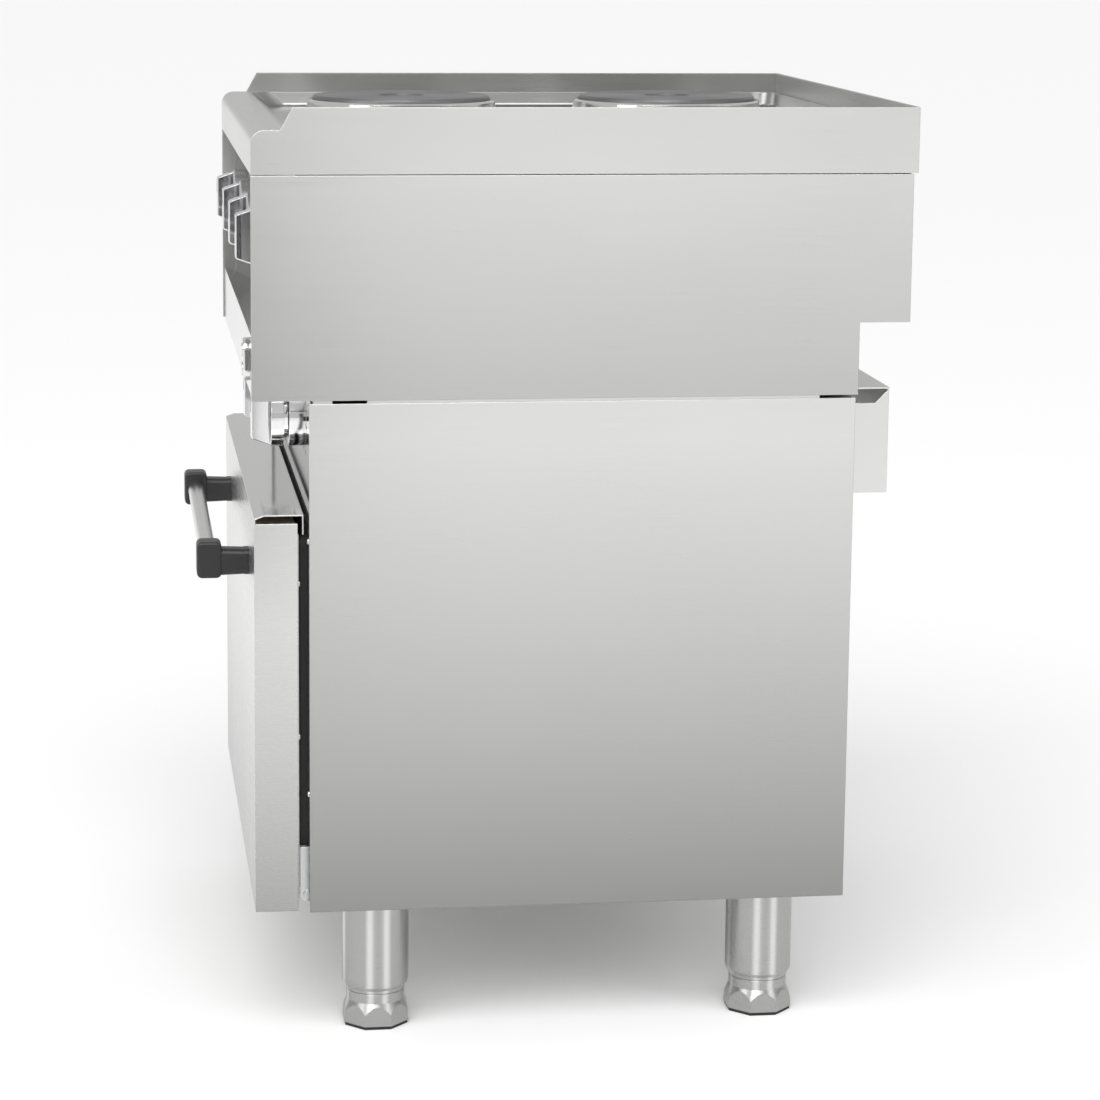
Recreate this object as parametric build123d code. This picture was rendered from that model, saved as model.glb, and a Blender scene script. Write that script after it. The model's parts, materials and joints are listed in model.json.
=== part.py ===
from build123d import *
import math
import os

os.makedirs("parts", exist_ok=True)

# A free-standing electric range: a hob module with four round hotplates in a pressed worktop,
# on a cabinet with a convection oven, a drop-down door, adjustable legs and a rear vent hood.
# Millimetres. X runs to the right seen from the front, Y to the back, Z up from the floor.
# Every depth below is measured backwards from the worktop's front face.

# Overall plan
WIDTH = 600.0
DEPTH = 600.0
HANDLE_REACH = 46.0

# Heights, from the floor up
LEG_HEIGHT = 127.0
CABINET_HEIGHT = 469.0
MODULE_JOINT = 3.0
HOB_HEIGHT = 201.0
WORKTOP_HEIGHT = 59.0

# Sheet and clearances
SHEET = 1.5
LINER_SHEET = 1.0
DOOR_SHEET = 1.2
GAP = 0.3
SHAFT_GAP = 0.05
SEAM = 0.8

# Worktop
UPSTAND_RISE = 20.0
UPSTAND_SHEET = 3.0
UPSTAND_START = 26.0
UPSTAND_SLOPE = 11.0
NOSE_RADIUS = 12.0
NOSE_TOP = 30.0
BASIN_DROP = 15.0
BASIN_SLOPE = 18.0
BASIN_EDGE = 7.0
BASIN_CORNER = 22.0
BASIN_DRAFT = 2.0
BASIN_FOOT_RADIUS = 4.0

# Hotplates
PLATE_RADIUS = 90.0
PLATE_THICKNESS = 16.0
PLATE_STAND = 21.0
PLATE_ROOM_X = 67.0
PLATE_ROOM_Y = 55.0
PLATE_RECESS_RADIUS = 22.5
PLATE_RECESS_DROP = 1.6
PLATE_EDGE = 2.0
BOSS_RADIUS = 76.0
BOSS_DROP = 16.0
BOSS_WALL = 5.0
RIM_SHEET = 1.2
RIM_RISE = 17.0
RIM_FLARE = 1.5
RIM_WIDTH = 5.0
RIM_ROUND = 1.8
STUD_RADIUS = 4.0
STUD_LENGTH = 14.0
CLAMP_REACH = 16.0
CLAMP_HALF = 10.0
NUT_RADIUS = 7.5
NUT_HEIGHT = 6.0

# Hob module
HOB_REAR_RELIEF = 4.0
NOTCH_DEPTH = 46.5
NOTCH_HEIGHT = 66.0
SIDE_FLANGE = 24.0
FRONT_HEM = 14.0
PANEL_SETBACK = 39.5
LOWER_FASCIA = 54.5
FASCIA_SETBACK = 1.5
LEDGE_ANGLE = 24.0
SEAM_FLANGE = 20.0
HOB_VENTS = 8
HOB_VENT_PITCH = 30.0
HOB_VENT_RISE = 50.0
HOB_VENT_HEIGHT = 30.0
VENT_SLOT = 8.0

# Knobs
KNOB_RADIUS = 27.5
KNOB_SKIRT = 12.0
LEVER_LENGTH = 17.0
LEVER_THICKNESS = 13.0
LEVER_FRONT_HEIGHT = 41.0
LEVER_BASE_HEIGHT = 52.0
LEVER_CHAMFER = 1.4
LEVER_EDGE = 1.0
SKIRT_EDGE = 0.8
NECK_RADIUS = 20.0
NECK_LENGTH = 4.4
BEZEL_LENGTH = 15.6
SPINDLE_RADIUS = 4.0
SPINDLE_HOLE = 7.0
SPINDLE_LENGTH = 20.0
HOB_KNOB_PITCH = 136.0
HOB_KNOB_RISE = 137.5
OVEN_KNOB_INNER = 68.0
OVEN_KNOB_DROP = 25.0
SWITCH_WIDTH = 44.0
SWITCH_HEIGHT = 40.0
SWITCH_DEPTH = 34.0

# Indicator fitting
INDICATOR_INSET = 50.0
INDICATOR_RISE = 31.5
INDICATOR_HEIGHT = 39.0
INDICATOR_WIDTH = 22.0
INDICATOR_DEPTH = 7.0
INDICATOR_EDGE = 2.0
LENS_RADIUS = 6.0
LENS_PITCH = 17.0
LENS_STAND = 1.0
LENS_EDGE = 0.9

# Cable gland and terminals
GLAND_INSET = 90.0
GLAND_RISE = 36.0
GLAND_THREAD = 10.0
GLAND_BORE = 6.0
GLAND_FLANGE = 15.0
GLAND_NUT = 6.0
GLAND_LOCKNUT = 5.0
GLAND_TAIL = 8.0
GLAND_DOME = 18.0
GLAND_DOME_RADIUS = 12.0
GLAND_DOME_EDGE = 4.0
TERMINALS = 5
TERMINAL_PITCH = 16.0
TERMINAL_HEIGHT = 24.0
TERMINAL_DEPTH = 28.0
TERMINAL_SCREW = 4.0
TERMINAL_OFFSET = 40.0
TERMINAL_BACK_GAP = 6.5

# Cabinet
CABINET_INSET = 1.0
CABINET_FRONT = 51.0
CABINET_REAR_STEP = 48.5
FASCIA_HEIGHT = 101.0
OVEN_FASCIA_STEP = 2.0
SLIT_START = 72.0
SLIT_LENGTH = 31.0
SLIT_REAR = 33.0
BACK_VENTS = 6
BACK_VENT_START = 60.0
BACK_VENT_PITCH = 24.0
BACK_VENT_RISE = 60.0
BACK_VENT_HEIGHT = 50.0

# Oven cavity
SIDE_WOOL = 29.5
REAR_WOOL = 28.0
CAVITY_RISE = 40.0
CAVITY_HEADROOM = 29.0
MOTOR_BAY = 73.0
FAN_BAY = 61.0
SEAL_WIDTH = 8.0
SEAL_CORNER = 12.0
SEAL_MARGIN = 1.0
SEAL_EDGE = 2.0
RUNNER_RADIUS = 3.0
RUNNER_INSET = 11.0
RUNNER_LEVELS = 3
RUNNER_FIRST = 50.0
RUNNER_PITCH = 75.0
RUNNER_TOP = 40.0
RUNNER_START = 95.0
RUNNER_REAR_GAP = 23.0
RUNNER_WIRE = 2.5
SHELF_SIDE_GAP = 8.0
SHELF_REAR_GAP = 10.0
SHELF_START = 78.0
SHELF_ROD = 3.0
SHELF_WIRE = 1.8
SHELF_WIRES = 20
BAFFLE_MARGIN = 14.0
BAFFLE_RINGS = 5
BAFFLE_HOLE = 5.0
BAFFLE_HOLE_PITCH = 14.0
BAFFLE_SLOTS = 9
BAFFLE_SLOT_INSET = 12.0
BAFFLE_SLOT_LENGTH = 50.0
BAFFLE_SLOT_HEIGHT = 8.0
BAFFLE_SLOT_MARGIN = 20.0

# Fan and elements
FAN_RADIUS = 92.0
FAN_HUB = 16.0
FAN_EYE = 41.0
FAN_WIDTH = 32.0
HUB_STEP = 6.0
SHAFT_STEP = 2.0
FAN_BLADES = 12
FAN_GAP = 8.0
SHAFT_RADIUS = 5.0
SHAFT_IN_MOTOR = 24.0
ELEMENT_RADIUS = 118.0
ELEMENT_STEP = 14.0
ELEMENT_ROD = 4.0
ELEMENT_SPACING = 16.0
ELEMENT_STAND = 30.0
ELEMENT_TAIL = 22.0
MOTOR_RADIUS = 42.0
MOTOR_LENGTH = 58.0
MOTOR_FLANGE = 60.0
MOTOR_PLATE = 3.0
BULB_RADIUS = 3.0
BULB_HALF = 60.0
BULB_DROP = 14.0
BULB_CLIP = 4.0
BULB_CLIP_X = 45.0

# Door
DOOR_SIDE_GAP = 7.5
DOOR_FACE = 2.0
DOOR_THICKNESS = 39.0
DOOR_RETURN = 12.0
DOOR_WOOL_GAP = 4.0
DOOR_TOP_DEPTH = 44.3
DOOR_SIDE_SHORT = 8.0
DOOR_BEVEL_DEPTH = 8.6
DOOR_BEVEL_DROP = 3.0
DOOR_LIP = 18.0
LINER_EDGE = 6.0
LINER_PRESS = 5.0
LINER_PRESS_MARGIN = 14.0
LINER_PRESS_CORNER = 14.0
LINER_PRESS_SLOPE = 4.0
LINER_RIM = 6.0
HINGE_DEPTH = 50.0
HINGE_RISE = 13.0
HINGE_PIN = 4.0
HINGE_EYE = 7.0
HINGE_INSET = 14.5
HINGE_ARM = 3.5
HINGE_EAR = 3.0
HINGE_BRACKET_HEIGHT = 45.0
HINGE_BRACKET_REACH = 30.0
HINGE_HEADROOM = 3.0
SWING_ROOM = 2.5
HINGE_SIDE_ROOM = 2.0
PIN_END = 1.5

# Handle
HANDLE_HALF = 185.0
HANDLE_TUBE = 8.2
HANDLE_TUBE_DEPTH = 34.5
HANDLE_RISE = 308.0
BRACKET_WIDTH = 24.0
BRACKET_DEPTH = 23.0
BRACKET_HALF_HEIGHT = 17.0
BRACKET_CORNER = 5.0
BRACKET_EDGE = 2.5
BRACKET_CAP = 4.0
ARM_ROOT = 25.5
ARM_LIP = 1.0
ARM_FOOT = 23.0
ARM_DROP = 2.5
ARM_CORNER = 5.0
ARM_COLLAR = 4.0

# Rear vent hood
HOOD_INSET = 29.0
HOOD_DEPTH = 38.5
HOOD_TOP_RISE = 5.0
HOOD_HEIGHT = 85.0
HOOD_END_DROP = 13.0
HOOD_END_OPENING = 13.0
HOOD_SEAT_RISE = 20.0
HOOD_SEAT_WIDTH = 40.0
VENT_RADIUS = 15.0
VENT_X = 150.0
VENT_BEND = 30.0
VENT_TAIL = 6.0

# Legs and feet
LEG_RADIUS = 31.3
LEG_TIP_RADIUS = 27.5
LEG_INSET_X = 65.0
LEG_INSET_Y = 65.5
LEG_CLEAR = 33.5
LEG_TAPER = 9.5
LEG_WALL = 2.0
LEG_TIP = 3.0
LEG_SHOULDER = 3.0
LEG_SHOULDER_IN = 0.7
FOOT_ACROSS = 32.5
FOOT_NECK = 27.4
FOOT_STEM = 12.0
SLEEVE_LENGTH = 18.0
SLEEVE_WALL = 5.0
FOOT_TOP_ACROSS = 30.0
FOOT_ROUND_RISE = 8.0
FOOT_NECK_DROP = 9.0
PAD_INSET = 1.0
STEM_SPARE = 2.0
FOOT_TRAVEL = 40.0
PAD_THICKNESS = 3.0
BOLT_HEAD = 5.0
BOLT_HEAD_HEIGHT = 4.0
BOLT_SPREAD = 42.0

# Fasteners
SCREW_RADIUS = 4.0
SCREW_HEAD = 2.0
SCREW_EDGE = 1.2
HOB_SCREW_INSET = 20.0
BACK_SCREW_INSET = 12.0
BACK_SCREW_RISE = 30.0

# Places worked out from the sizes above
FRONT = (HANDLE_REACH - DEPTH) / 2.0
HALF = WIDTH / 2.0
CAB_HALF = HALF - CABINET_INSET
CAB_INNER = CAB_HALF - SHEET
UPSTAND_INNER = HALF - UPSTAND_SHEET
BASE_Z = LEG_HEIGHT
BASE_UNDER_Z = BASE_Z + SHEET
CAB_TOP_Z = BASE_Z + CABINET_HEIGHT
HOB_Z = CAB_TOP_Z + MODULE_JOINT
SEAM_Z = HOB_Z + HOB_HEIGHT
HEIGHT = SEAM_Z + WORKTOP_HEIGHT
RIM_Z = HEIGHT - UPSTAND_RISE
BASIN_Z = RIM_Z - BASIN_DROP
DECK_UNDER_Z = BASIN_Z - SHEET
HOB_REAR = DEPTH - HOB_REAR_RELIEF
CABINET_REAR = HOB_REAR - CABINET_REAR_STEP
NOTCH_START = HOB_REAR - NOTCH_DEPTH
NOTCH_Z = HOB_Z + NOTCH_HEIGHT
HOB_SIDE_TOP = SEAM_Z - SEAM
LEDGE_Z = HOB_Z + LOWER_FASCIA
LEDGE_FALL = (PANEL_SETBACK - FASCIA_SETBACK) * math.tan(math.radians(LEDGE_ANGLE))
HOB_KNOB_Z = HOB_Z + HOB_KNOB_RISE
OVEN_KNOB_Z = CAB_TOP_Z - OVEN_KNOB_DROP
OVEN_FASCIA_DEPTH = CABINET_FRONT + OVEN_FASCIA_STEP
INDICATOR_X = HALF - INDICATOR_INSET
DOOR_HALF = HALF - DOOR_SIDE_GAP
DOOR_TOP_Z = CAB_TOP_Z - FASCIA_HEIGHT
DOOR_Z = BASE_Z
DOOR_BACK = DOOR_FACE + DOOR_THICKNESS
DOOR_LIP_DEPTH = DOOR_FACE + DOOR_TOP_DEPTH
LINER_FACE = DOOR_BACK + DOOR_SHEET
BASE_TOP_Z = BASE_UNDER_Z + SHEET
CAVITY_HALF = CAB_INNER - SIDE_WOOL
CAVITY_BACK = CABINET_REAR - MOTOR_BAY
CAVITY_Z = BASE_Z + CAVITY_RISE
CAVITY_TOP_Z = DOOR_TOP_Z - CAVITY_HEADROOM
BAFFLE_DEPTH = CAVITY_BACK - FAN_BAY
RUNNER_END = BAFFLE_DEPTH - RUNNER_REAR_GAP
SHELF_WIDTH = 2 * (CAVITY_HALF - SHELF_SIDE_GAP)
SHELF_DEPTH = BAFFLE_DEPTH - SHELF_REAR_GAP - SHELF_START
FRAME_BACK = CABINET_FRONT + SHEET
HINGE_ARM_X = DOOR_HALF - HINGE_INSET
HINGE_Z = BASE_Z + HINGE_RISE
HINGE_TOP_Z = HINGE_Z + HINGE_BRACKET_HEIGHT
BASE_FRONT = HINGE_DEPTH + HINGE_RISE + SWING_ROOM
FRAME_FOOT_Z = HINGE_Z - (HINGE_DEPTH - LINER_FACE) + SWING_ROOM
HINGE_POCKET_X = HINGE_ARM_X - HINGE_SIDE_ROOM
HINGE_POCKET_Z = HINGE_TOP_Z + HINGE_HEADROOM
FAN_Z = (CAVITY_Z + CAVITY_TOP_Z) / 2.0
HANDLE_Z = DOOR_Z + HANDLE_RISE
HOOD_TOP_Z = CAB_TOP_Z + HOOD_TOP_RISE
HOOD_FOOT_Z = HOOD_TOP_Z - HOOD_HEIGHT
HOOD_BACK = CABINET_REAR + HOOD_DEPTH
HOOD_HALF = CAB_HALF - HOOD_INSET
VENT_DEPTH = (BAFFLE_DEPTH + CAVITY_BACK) / 2.0
VENT_Z = (DOOR_TOP_Z + CAB_TOP_Z) / 2.0
GLAND_X = -HALF + GLAND_INSET
GLAND_Z = BASE_Z + GLAND_RISE
HOB_KNOBS_X = [HOB_KNOB_PITCH * (i - 1.5) for i in range(4)]
OVEN_KNOBS_X = [OVEN_KNOB_INNER, OVEN_KNOB_INNER + HOB_KNOB_PITCH]
PLATE_PITCH_X = 2 * (HALF - BASIN_EDGE - PLATE_RADIUS - PLATE_ROOM_X)
PLATE_PITCH_Y = DEPTH - BASIN_EDGE - NOSE_TOP - 2 * (PLATE_RADIUS + PLATE_ROOM_Y)
PLATE_FIRST_DEPTH = (NOSE_TOP + DEPTH - BASIN_EDGE - PLATE_PITCH_Y) / 2.0
PLATE_PLACES = [
    (x, PLATE_FIRST_DEPTH + row * PLATE_PITCH_Y)
    for row in range(2)
    for x in (-PLATE_PITCH_X / 2.0, PLATE_PITCH_X / 2.0)
]
LEG_FRONT_DEPTH = CABINET_FRONT + LEG_INSET_Y
LEG_REAR_DEPTH = CABINET_REAR - LEG_INSET_Y
LEG_X = HALF - LEG_INSET_X
LEG_PLACES = {
    "front_left": (-LEG_X, LEG_FRONT_DEPTH),
    "front_right": (LEG_X, LEG_FRONT_DEPTH),
    "rear_left": (-LEG_X, LEG_REAR_DEPTH),
    "rear_right": (LEG_X, LEG_REAR_DEPTH),
}


def at(x, depth, z):
    """A point given by its depth behind the worktop's front face."""
    return Vector(x, FRONT + depth, z)


def block(x0, x1, d0, d1, z0, z1):
    """A box between two corners."""
    centre = at((x0 + x1) / 2.0, (d0 + d1) / 2.0, (z0 + z1) / 2.0)
    return Pos(centre.X, centre.Y, centre.Z) * Box(x1 - x0, d1 - d0, z1 - z0)


def across(points, x0, x1):
    """A side outline of (depth, height) points, drawn out from x0 to x1."""
    outline = Polyline(*[at(x0, d, z) for d, z in points], close=True)
    return extrude(make_face(outline), amount=x1 - x0, dir=(1, 0, 0))


def rod(start, end, radius):
    """A round bar from one point to another."""
    along = end - start
    return Part(Solid.make_cylinder(radius, along.length, Plane(origin=start, z_dir=along)).wrapped)


def disc(x, z, d0, d1, radius):
    """A round bar along the depth."""
    return rod(at(x, d0, z), at(x, d1, z), radius)


def post(x, depth, z0, z1, radius):
    """A round bar standing upright."""
    return rod(at(x, depth, z0), at(x, depth, z1), radius)


def turned(points, x, depth):
    """A solid of revolution about an upright axis from (radius, height) points."""
    outline = Polyline(*[Vector(r, 0, z) for r, z in points], close=True)
    spun = revolve(make_face(outline), axis=Axis.Z)
    place = at(x, depth, 0)
    return Pos(place.X, place.Y, 0) * spun


def edges_along_x(shape, depth, z, reach=0.1):
    """The edges that run across the width at one depth and height."""
    found = []
    for edge in shape.edges().filter_by(Axis.X):
        centre = edge.center()
        if abs(centre.Y - FRONT - depth) < reach and abs(centre.Z - z) < reach:
            found.append(edge)
    return found


def save(node, *shapes):
    """Write one node, with every piece as its own solid."""
    solids = [solid for shape in shapes for solid in shape.solids()]
    whole = solids[0] if len(solids) == 1 else Compound(solids)
    export_step(whole, "parts/" + node + ".step")


# Worktop

def basin_tool():
    """The space of the sunk basin, with a sloped front and rounded corners."""
    lean = BASIN_SLOPE / BASIN_DROP
    rise = 1.0
    half = HALF - BASIN_EDGE
    back = DEPTH - BASIN_EDGE
    top = basin_outline(half, NOSE_TOP - lean * rise, back, RIM_Z + rise)
    foot = basin_outline(half - BASIN_DRAFT, NOSE_TOP + BASIN_SLOPE, back - BASIN_DRAFT, BASIN_Z)
    tool = loft([foot, top], ruled=True)
    return fillet(tool.faces().sort_by(Axis.Z)[0].edges(), BASIN_FOOT_RADIUS)


def basin_outline(half, front, back, z):
    plane = Plane(origin=at(0, (front + back) / 2.0, z))
    return plane * RectangleRounded(2 * half, back - front, BASIN_CORNER)


def worktop():
    """The pressed deck with its rounded nose, front wall and soffit."""
    shell = across(
        [
            (0, SEAM_Z),
            (0, RIM_Z),
            (DEPTH - UPSTAND_SHEET, RIM_Z),
            (DEPTH - UPSTAND_SHEET, SEAM_Z),
        ],
        -UPSTAND_INNER,
        UPSTAND_INNER,
    )
    shell = fillet(edges_along_x(shell, 0, RIM_Z), NOSE_RADIUS)
    shell -= basin_tool()
    under = across(
        [
            (SHEET, SEAM_Z - 1),
            (SHEET, RIM_Z - SHEET),
            (NOSE_TOP - SHEET, RIM_Z - SHEET),
            (NOSE_TOP + BASIN_SLOPE - SHEET, DECK_UNDER_Z),
            (DEPTH, DECK_UNDER_Z),
            (DEPTH, SEAM_Z - 1),
        ],
        -HALF,
        HALF,
    )
    shell -= fillet(edges_along_x(under, SHEET, RIM_Z - SHEET), NOSE_RADIUS - SHEET)
    soffit = PANEL_SETBACK - SHEET
    shell += block(-UPSTAND_INNER, UPSTAND_INNER, SHEET, soffit, SEAM_Z, SEAM_Z + SHEET)
    for x, depth in PLATE_PLACES:
        shell -= post(x, depth, DECK_UNDER_Z - 1, BASIN_Z + 1, BOSS_RADIUS + 2 * SHEET)
    return shell


def worktop_surround():
    """The two side walls, shaped like the nose at the front, and the rear wall, all with the raised edge."""
    side = across(
        [
            (0, SEAM_Z),
            (0, RIM_Z),
            (UPSTAND_START, RIM_Z),
            (UPSTAND_START + UPSTAND_SLOPE, HEIGHT),
            (DEPTH, HEIGHT),
            (DEPTH, SEAM_Z),
        ],
        UPSTAND_INNER,
        HALF,
    )
    side = fillet(edges_along_x(side, 0, RIM_Z), NOSE_RADIUS)
    rear = block(-UPSTAND_INNER, UPSTAND_INNER, DEPTH - UPSTAND_SHEET, DEPTH, SEAM_Z, HEIGHT)
    return [side, mirror(side, Plane.YZ), rear]


def hotplate(x, depth):
    """A cast plate with a shallow centre recess, a boss below and its stud."""
    top = BASIN_Z + PLATE_STAND
    base = top - PLATE_THICKNESS
    inner = PLATE_RADIUS - PLATE_EDGE
    return turned(
        [
            (0, base - BOSS_DROP - STUD_LENGTH),
            (STUD_RADIUS, base - BOSS_DROP - STUD_LENGTH),
            (STUD_RADIUS, base),
            (BOSS_RADIUS - BOSS_WALL, base),
            (BOSS_RADIUS - BOSS_WALL, base - BOSS_DROP),
            (BOSS_RADIUS, base - BOSS_DROP),
            (BOSS_RADIUS, base),
            (PLATE_RADIUS - 1, base),
            (PLATE_RADIUS, base + 1),
            (PLATE_RADIUS, top - PLATE_EDGE),
            (inner, top),
            (PLATE_RECESS_RADIUS + PLATE_RECESS_DROP, top),
            (PLATE_RECESS_RADIUS, top - PLATE_RECESS_DROP),
            (0, top - PLATE_RECESS_DROP),
        ],
        x,
        depth,
    )


def hotplate_rim(x, depth):
    """The bright spill ring that seats the plate on the deck."""
    inner = PLATE_RADIUS + GAP
    top = BASIN_Z + RIM_RISE
    outer = inner + RIM_WIDTH
    foot = outer + RIM_FLARE
    seat = BASIN_Z + PLATE_STAND - PLATE_THICKNESS
    return turned(
        [
            (BOSS_RADIUS + 2 * SHEET, BASIN_Z),
            (foot, BASIN_Z),
            (foot, BASIN_Z + RIM_SHEET),
            (outer, top - RIM_ROUND),
            (outer - RIM_ROUND, top),
            (inner, top),
            (inner, seat),
            (BOSS_RADIUS + 2 * SHEET, seat),
        ],
        x,
        depth,
    )


def hotplate_clamp(x, depth):
    """A bridge bar under the deck with the nut that pulls the plate down."""
    stud_top = BASIN_Z + PLATE_STAND - PLATE_THICKNESS - BOSS_DROP
    bar_z = stud_top - 2 * SHEET
    reach = BOSS_RADIUS + CLAMP_REACH
    front, back = depth - CLAMP_HALF, depth + CLAMP_HALF
    bar = block(x - reach, x + reach, front, back, bar_z, stud_top)
    for side in (-1, 1):
        end = x + side * (reach - SHEET)
        bar += block(end - SHEET, end + SHEET, front, back, bar_z, DECK_UNDER_Z)
    bar -= post(x, depth, bar_z - 1, stud_top + 1, STUD_RADIUS + GAP)
    nut = Plane(origin=at(x, depth, bar_z - NUT_HEIGHT)) * RegularPolygon(NUT_RADIUS, 6)
    nut = extrude(nut, amount=NUT_HEIGHT)
    nut -= post(x, depth, bar_z - NUT_HEIGHT - 1, bar_z, STUD_RADIUS + SHAFT_GAP)
    return [bar, nut]


# Hob module

def hob_side(side):
    """A side panel with its rear notch, inward flanges and a hemmed front edge."""
    outer = [
        (0, HOB_Z),
        (0, HOB_SIDE_TOP),
        (HOB_REAR, HOB_SIDE_TOP),
        (HOB_REAR, NOTCH_Z),
        (NOTCH_START, NOTCH_Z),
        (NOTCH_START, HOB_Z),
    ]
    panel = across(outer, HALF - SHEET, HALF)
    inner = HALF - SHEET
    panel += block(inner - SHEET, inner, 0, FRONT_HEM, HOB_Z + SHEET, HOB_SIDE_TOP)
    panel += block(inner - SEAM_FLANGE, inner, PANEL_SETBACK + SHEET, HOB_REAR - SHEET,
                   HOB_SIDE_TOP - SHEET, HOB_SIDE_TOP)
    panel += block(inner - SIDE_FLANGE, inner, PANEL_SETBACK + SHEET, NOTCH_START - SHEET,
                   HOB_Z, HOB_Z + SHEET)
    return panel if side > 0 else mirror(panel, Plane.YZ)


def hob_rear_panel():
    """The rear wall of the overhang with its floor, and the wall that drops to the notch."""
    half = HALF - SHEET
    flange = HALF - SHEET - SEAM_FLANGE
    wall = block(-half, half, HOB_REAR - SHEET, HOB_REAR, NOTCH_Z, HOB_SIDE_TOP - SHEET)
    wall += block(-flange, flange, HOB_REAR - SEAM_FLANGE, HOB_REAR, HOB_SIDE_TOP - SHEET, HOB_SIDE_TOP)
    wall += block(-half, half, NOTCH_START, HOB_REAR, NOTCH_Z, NOTCH_Z + SHEET)
    lower = block(-half, half, NOTCH_START - SHEET, NOTCH_START, HOB_Z, NOTCH_Z + SEAM_FLANGE)
    return [wall - hob_vents(), lower]


def hob_vents():
    """A row of upright cooling slots in the hob's rear wall."""
    slots = Part()
    low = NOTCH_Z + HOB_VENT_RISE
    for i in range(HOB_VENTS):
        x = (i - (HOB_VENTS - 1) / 2.0) * HOB_VENT_PITCH
        slots += block(x - VENT_SLOT / 2, x + VENT_SLOT / 2, HOB_REAR - 2 * SHEET, HOB_REAR + SHEET,
                       low, low + HOB_VENT_HEIGHT)
    return slots


def hob_base_pan():
    half = HALF - SHEET
    return block(-half, half, PANEL_SETBACK, NOTCH_START - SHEET, HOB_Z + SHEET, HOB_Z + 2 * SHEET)


def control_panel():
    half = HALF - 2 * SHEET
    flange = HALF - SHEET - SEAM_FLANGE
    foot = LEDGE_Z - LEDGE_FALL
    panel = block(-half, half, PANEL_SETBACK, PANEL_SETBACK + SHEET, foot, HOB_SIDE_TOP)
    panel += block(-flange, flange, PANEL_SETBACK + SHEET, PANEL_SETBACK + SEAM_FLANGE,
                   HOB_SIDE_TOP - SHEET, HOB_SIDE_TOP)
    for x in HOB_KNOBS_X:
        panel -= disc(x, HOB_KNOB_Z, PANEL_SETBACK - 1, PANEL_SETBACK + 2 * SHEET, SPINDLE_HOLE)
    return panel


def lower_fascia():
    """The front strip under the control recess, folded back into a sloping ledge."""
    half = HALF - 2 * SHEET
    back = PANEL_SETBACK
    return across(
        [
            (FASCIA_SETBACK, HOB_Z),
            (FASCIA_SETBACK, LEDGE_Z),
            (back, LEDGE_Z - LEDGE_FALL),
            (back, LEDGE_Z - LEDGE_FALL - SHEET),
            (FASCIA_SETBACK + SHEET, LEDGE_Z - 2 * SHEET),
            (FASCIA_SETBACK + SHEET, HOB_Z + SHEET),
            (back - SHEET, HOB_Z + SHEET),
            (back - SHEET, HOB_Z),
        ],
        -half,
        half,
    )


def indicator_lamps():
    """An oblong bezel with two domed lenses, one above the other."""
    z = HOB_Z + INDICATOR_RISE
    front = FASCIA_SETBACK - INDICATOR_DEPTH
    core = INDICATOR_HEIGHT / 2.0 - INDICATOR_WIDTH / 2.0
    half = INDICATOR_WIDTH / 2.0
    bezel = block(INDICATOR_X - half, INDICATOR_X + half, front, FASCIA_SETBACK, z - core, z + core)
    for end in (-1, 1):
        bezel += disc(INDICATOR_X, z + end * core, front, FASCIA_SETBACK, half)
    rim = bezel.faces().sort_by(Axis.Y)[0].edges()
    bezel = fillet(rim, INDICATOR_EDGE)
    lenses = []
    for end in (-1, 1):
        lens_z = z + end * LENS_PITCH / 2.0
        bezel -= disc(INDICATOR_X, lens_z, front - 1, FASCIA_SETBACK - SHEET, LENS_RADIUS)
        lens = disc(INDICATOR_X, lens_z, front - LENS_STAND, FASCIA_SETBACK - SHEET, LENS_RADIUS)
        lenses.append(fillet(lens.faces().sort_by(Axis.Y)[0].edges(), LENS_EDGE))
    return [bezel] + lenses


# Knobs, bezels and switches

def knob(x, z, panel_depth):
    """A lever knob with its skirt, neck and spindle in one piece."""
    total = LEVER_LENGTH + KNOB_SKIRT + NECK_LENGTH + BEZEL_LENGTH
    front = panel_depth - total
    root = front + LEVER_LENGTH
    half = LEVER_THICKNESS / 2.0
    tip = LEVER_FRONT_HEIGHT / 2.0
    base = LEVER_BASE_HEIGHT / 2.0
    lever = across(
        [
            (front, z - tip + LEVER_CHAMFER),
            (front, z + tip - LEVER_CHAMFER),
            (front + LEVER_CHAMFER, z + tip),
            (root, z + base),
            (root, z - base),
            (front + LEVER_CHAMFER, z - tip),
        ],
        x - half,
        x + half,
    )
    for face in (0, -1):
        edges = lever.faces().sort_by(Axis.X)[face].edges()
        lever = chamfer(edges.filter_by(lambda e: e.center().Y < FRONT + root - 1), LEVER_EDGE)
    skirt = disc(x, z, root, root + KNOB_SKIRT, KNOB_RADIUS)
    skirt = chamfer(skirt.faces().sort_by(Axis.Y)[0].edges(), SKIRT_EDGE)
    neck = disc(x, z, root + KNOB_SKIRT, root + KNOB_SKIRT + NECK_LENGTH - GAP, NECK_RADIUS)
    spindle = disc(x, z, root + KNOB_SKIRT, panel_depth + SHEET + SPINDLE_LENGTH, SPINDLE_RADIUS)
    return lever + skirt + neck + spindle


def knob_bezel(x, z, panel_depth):
    ring = disc(x, z, panel_depth - BEZEL_LENGTH, panel_depth, KNOB_RADIUS)
    ring = chamfer(ring.faces().sort_by(Axis.Y)[0].edges(), SKIRT_EDGE)
    return ring - disc(x, z, panel_depth - BEZEL_LENGTH - 1, panel_depth + 1, SPINDLE_HOLE)


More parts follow.
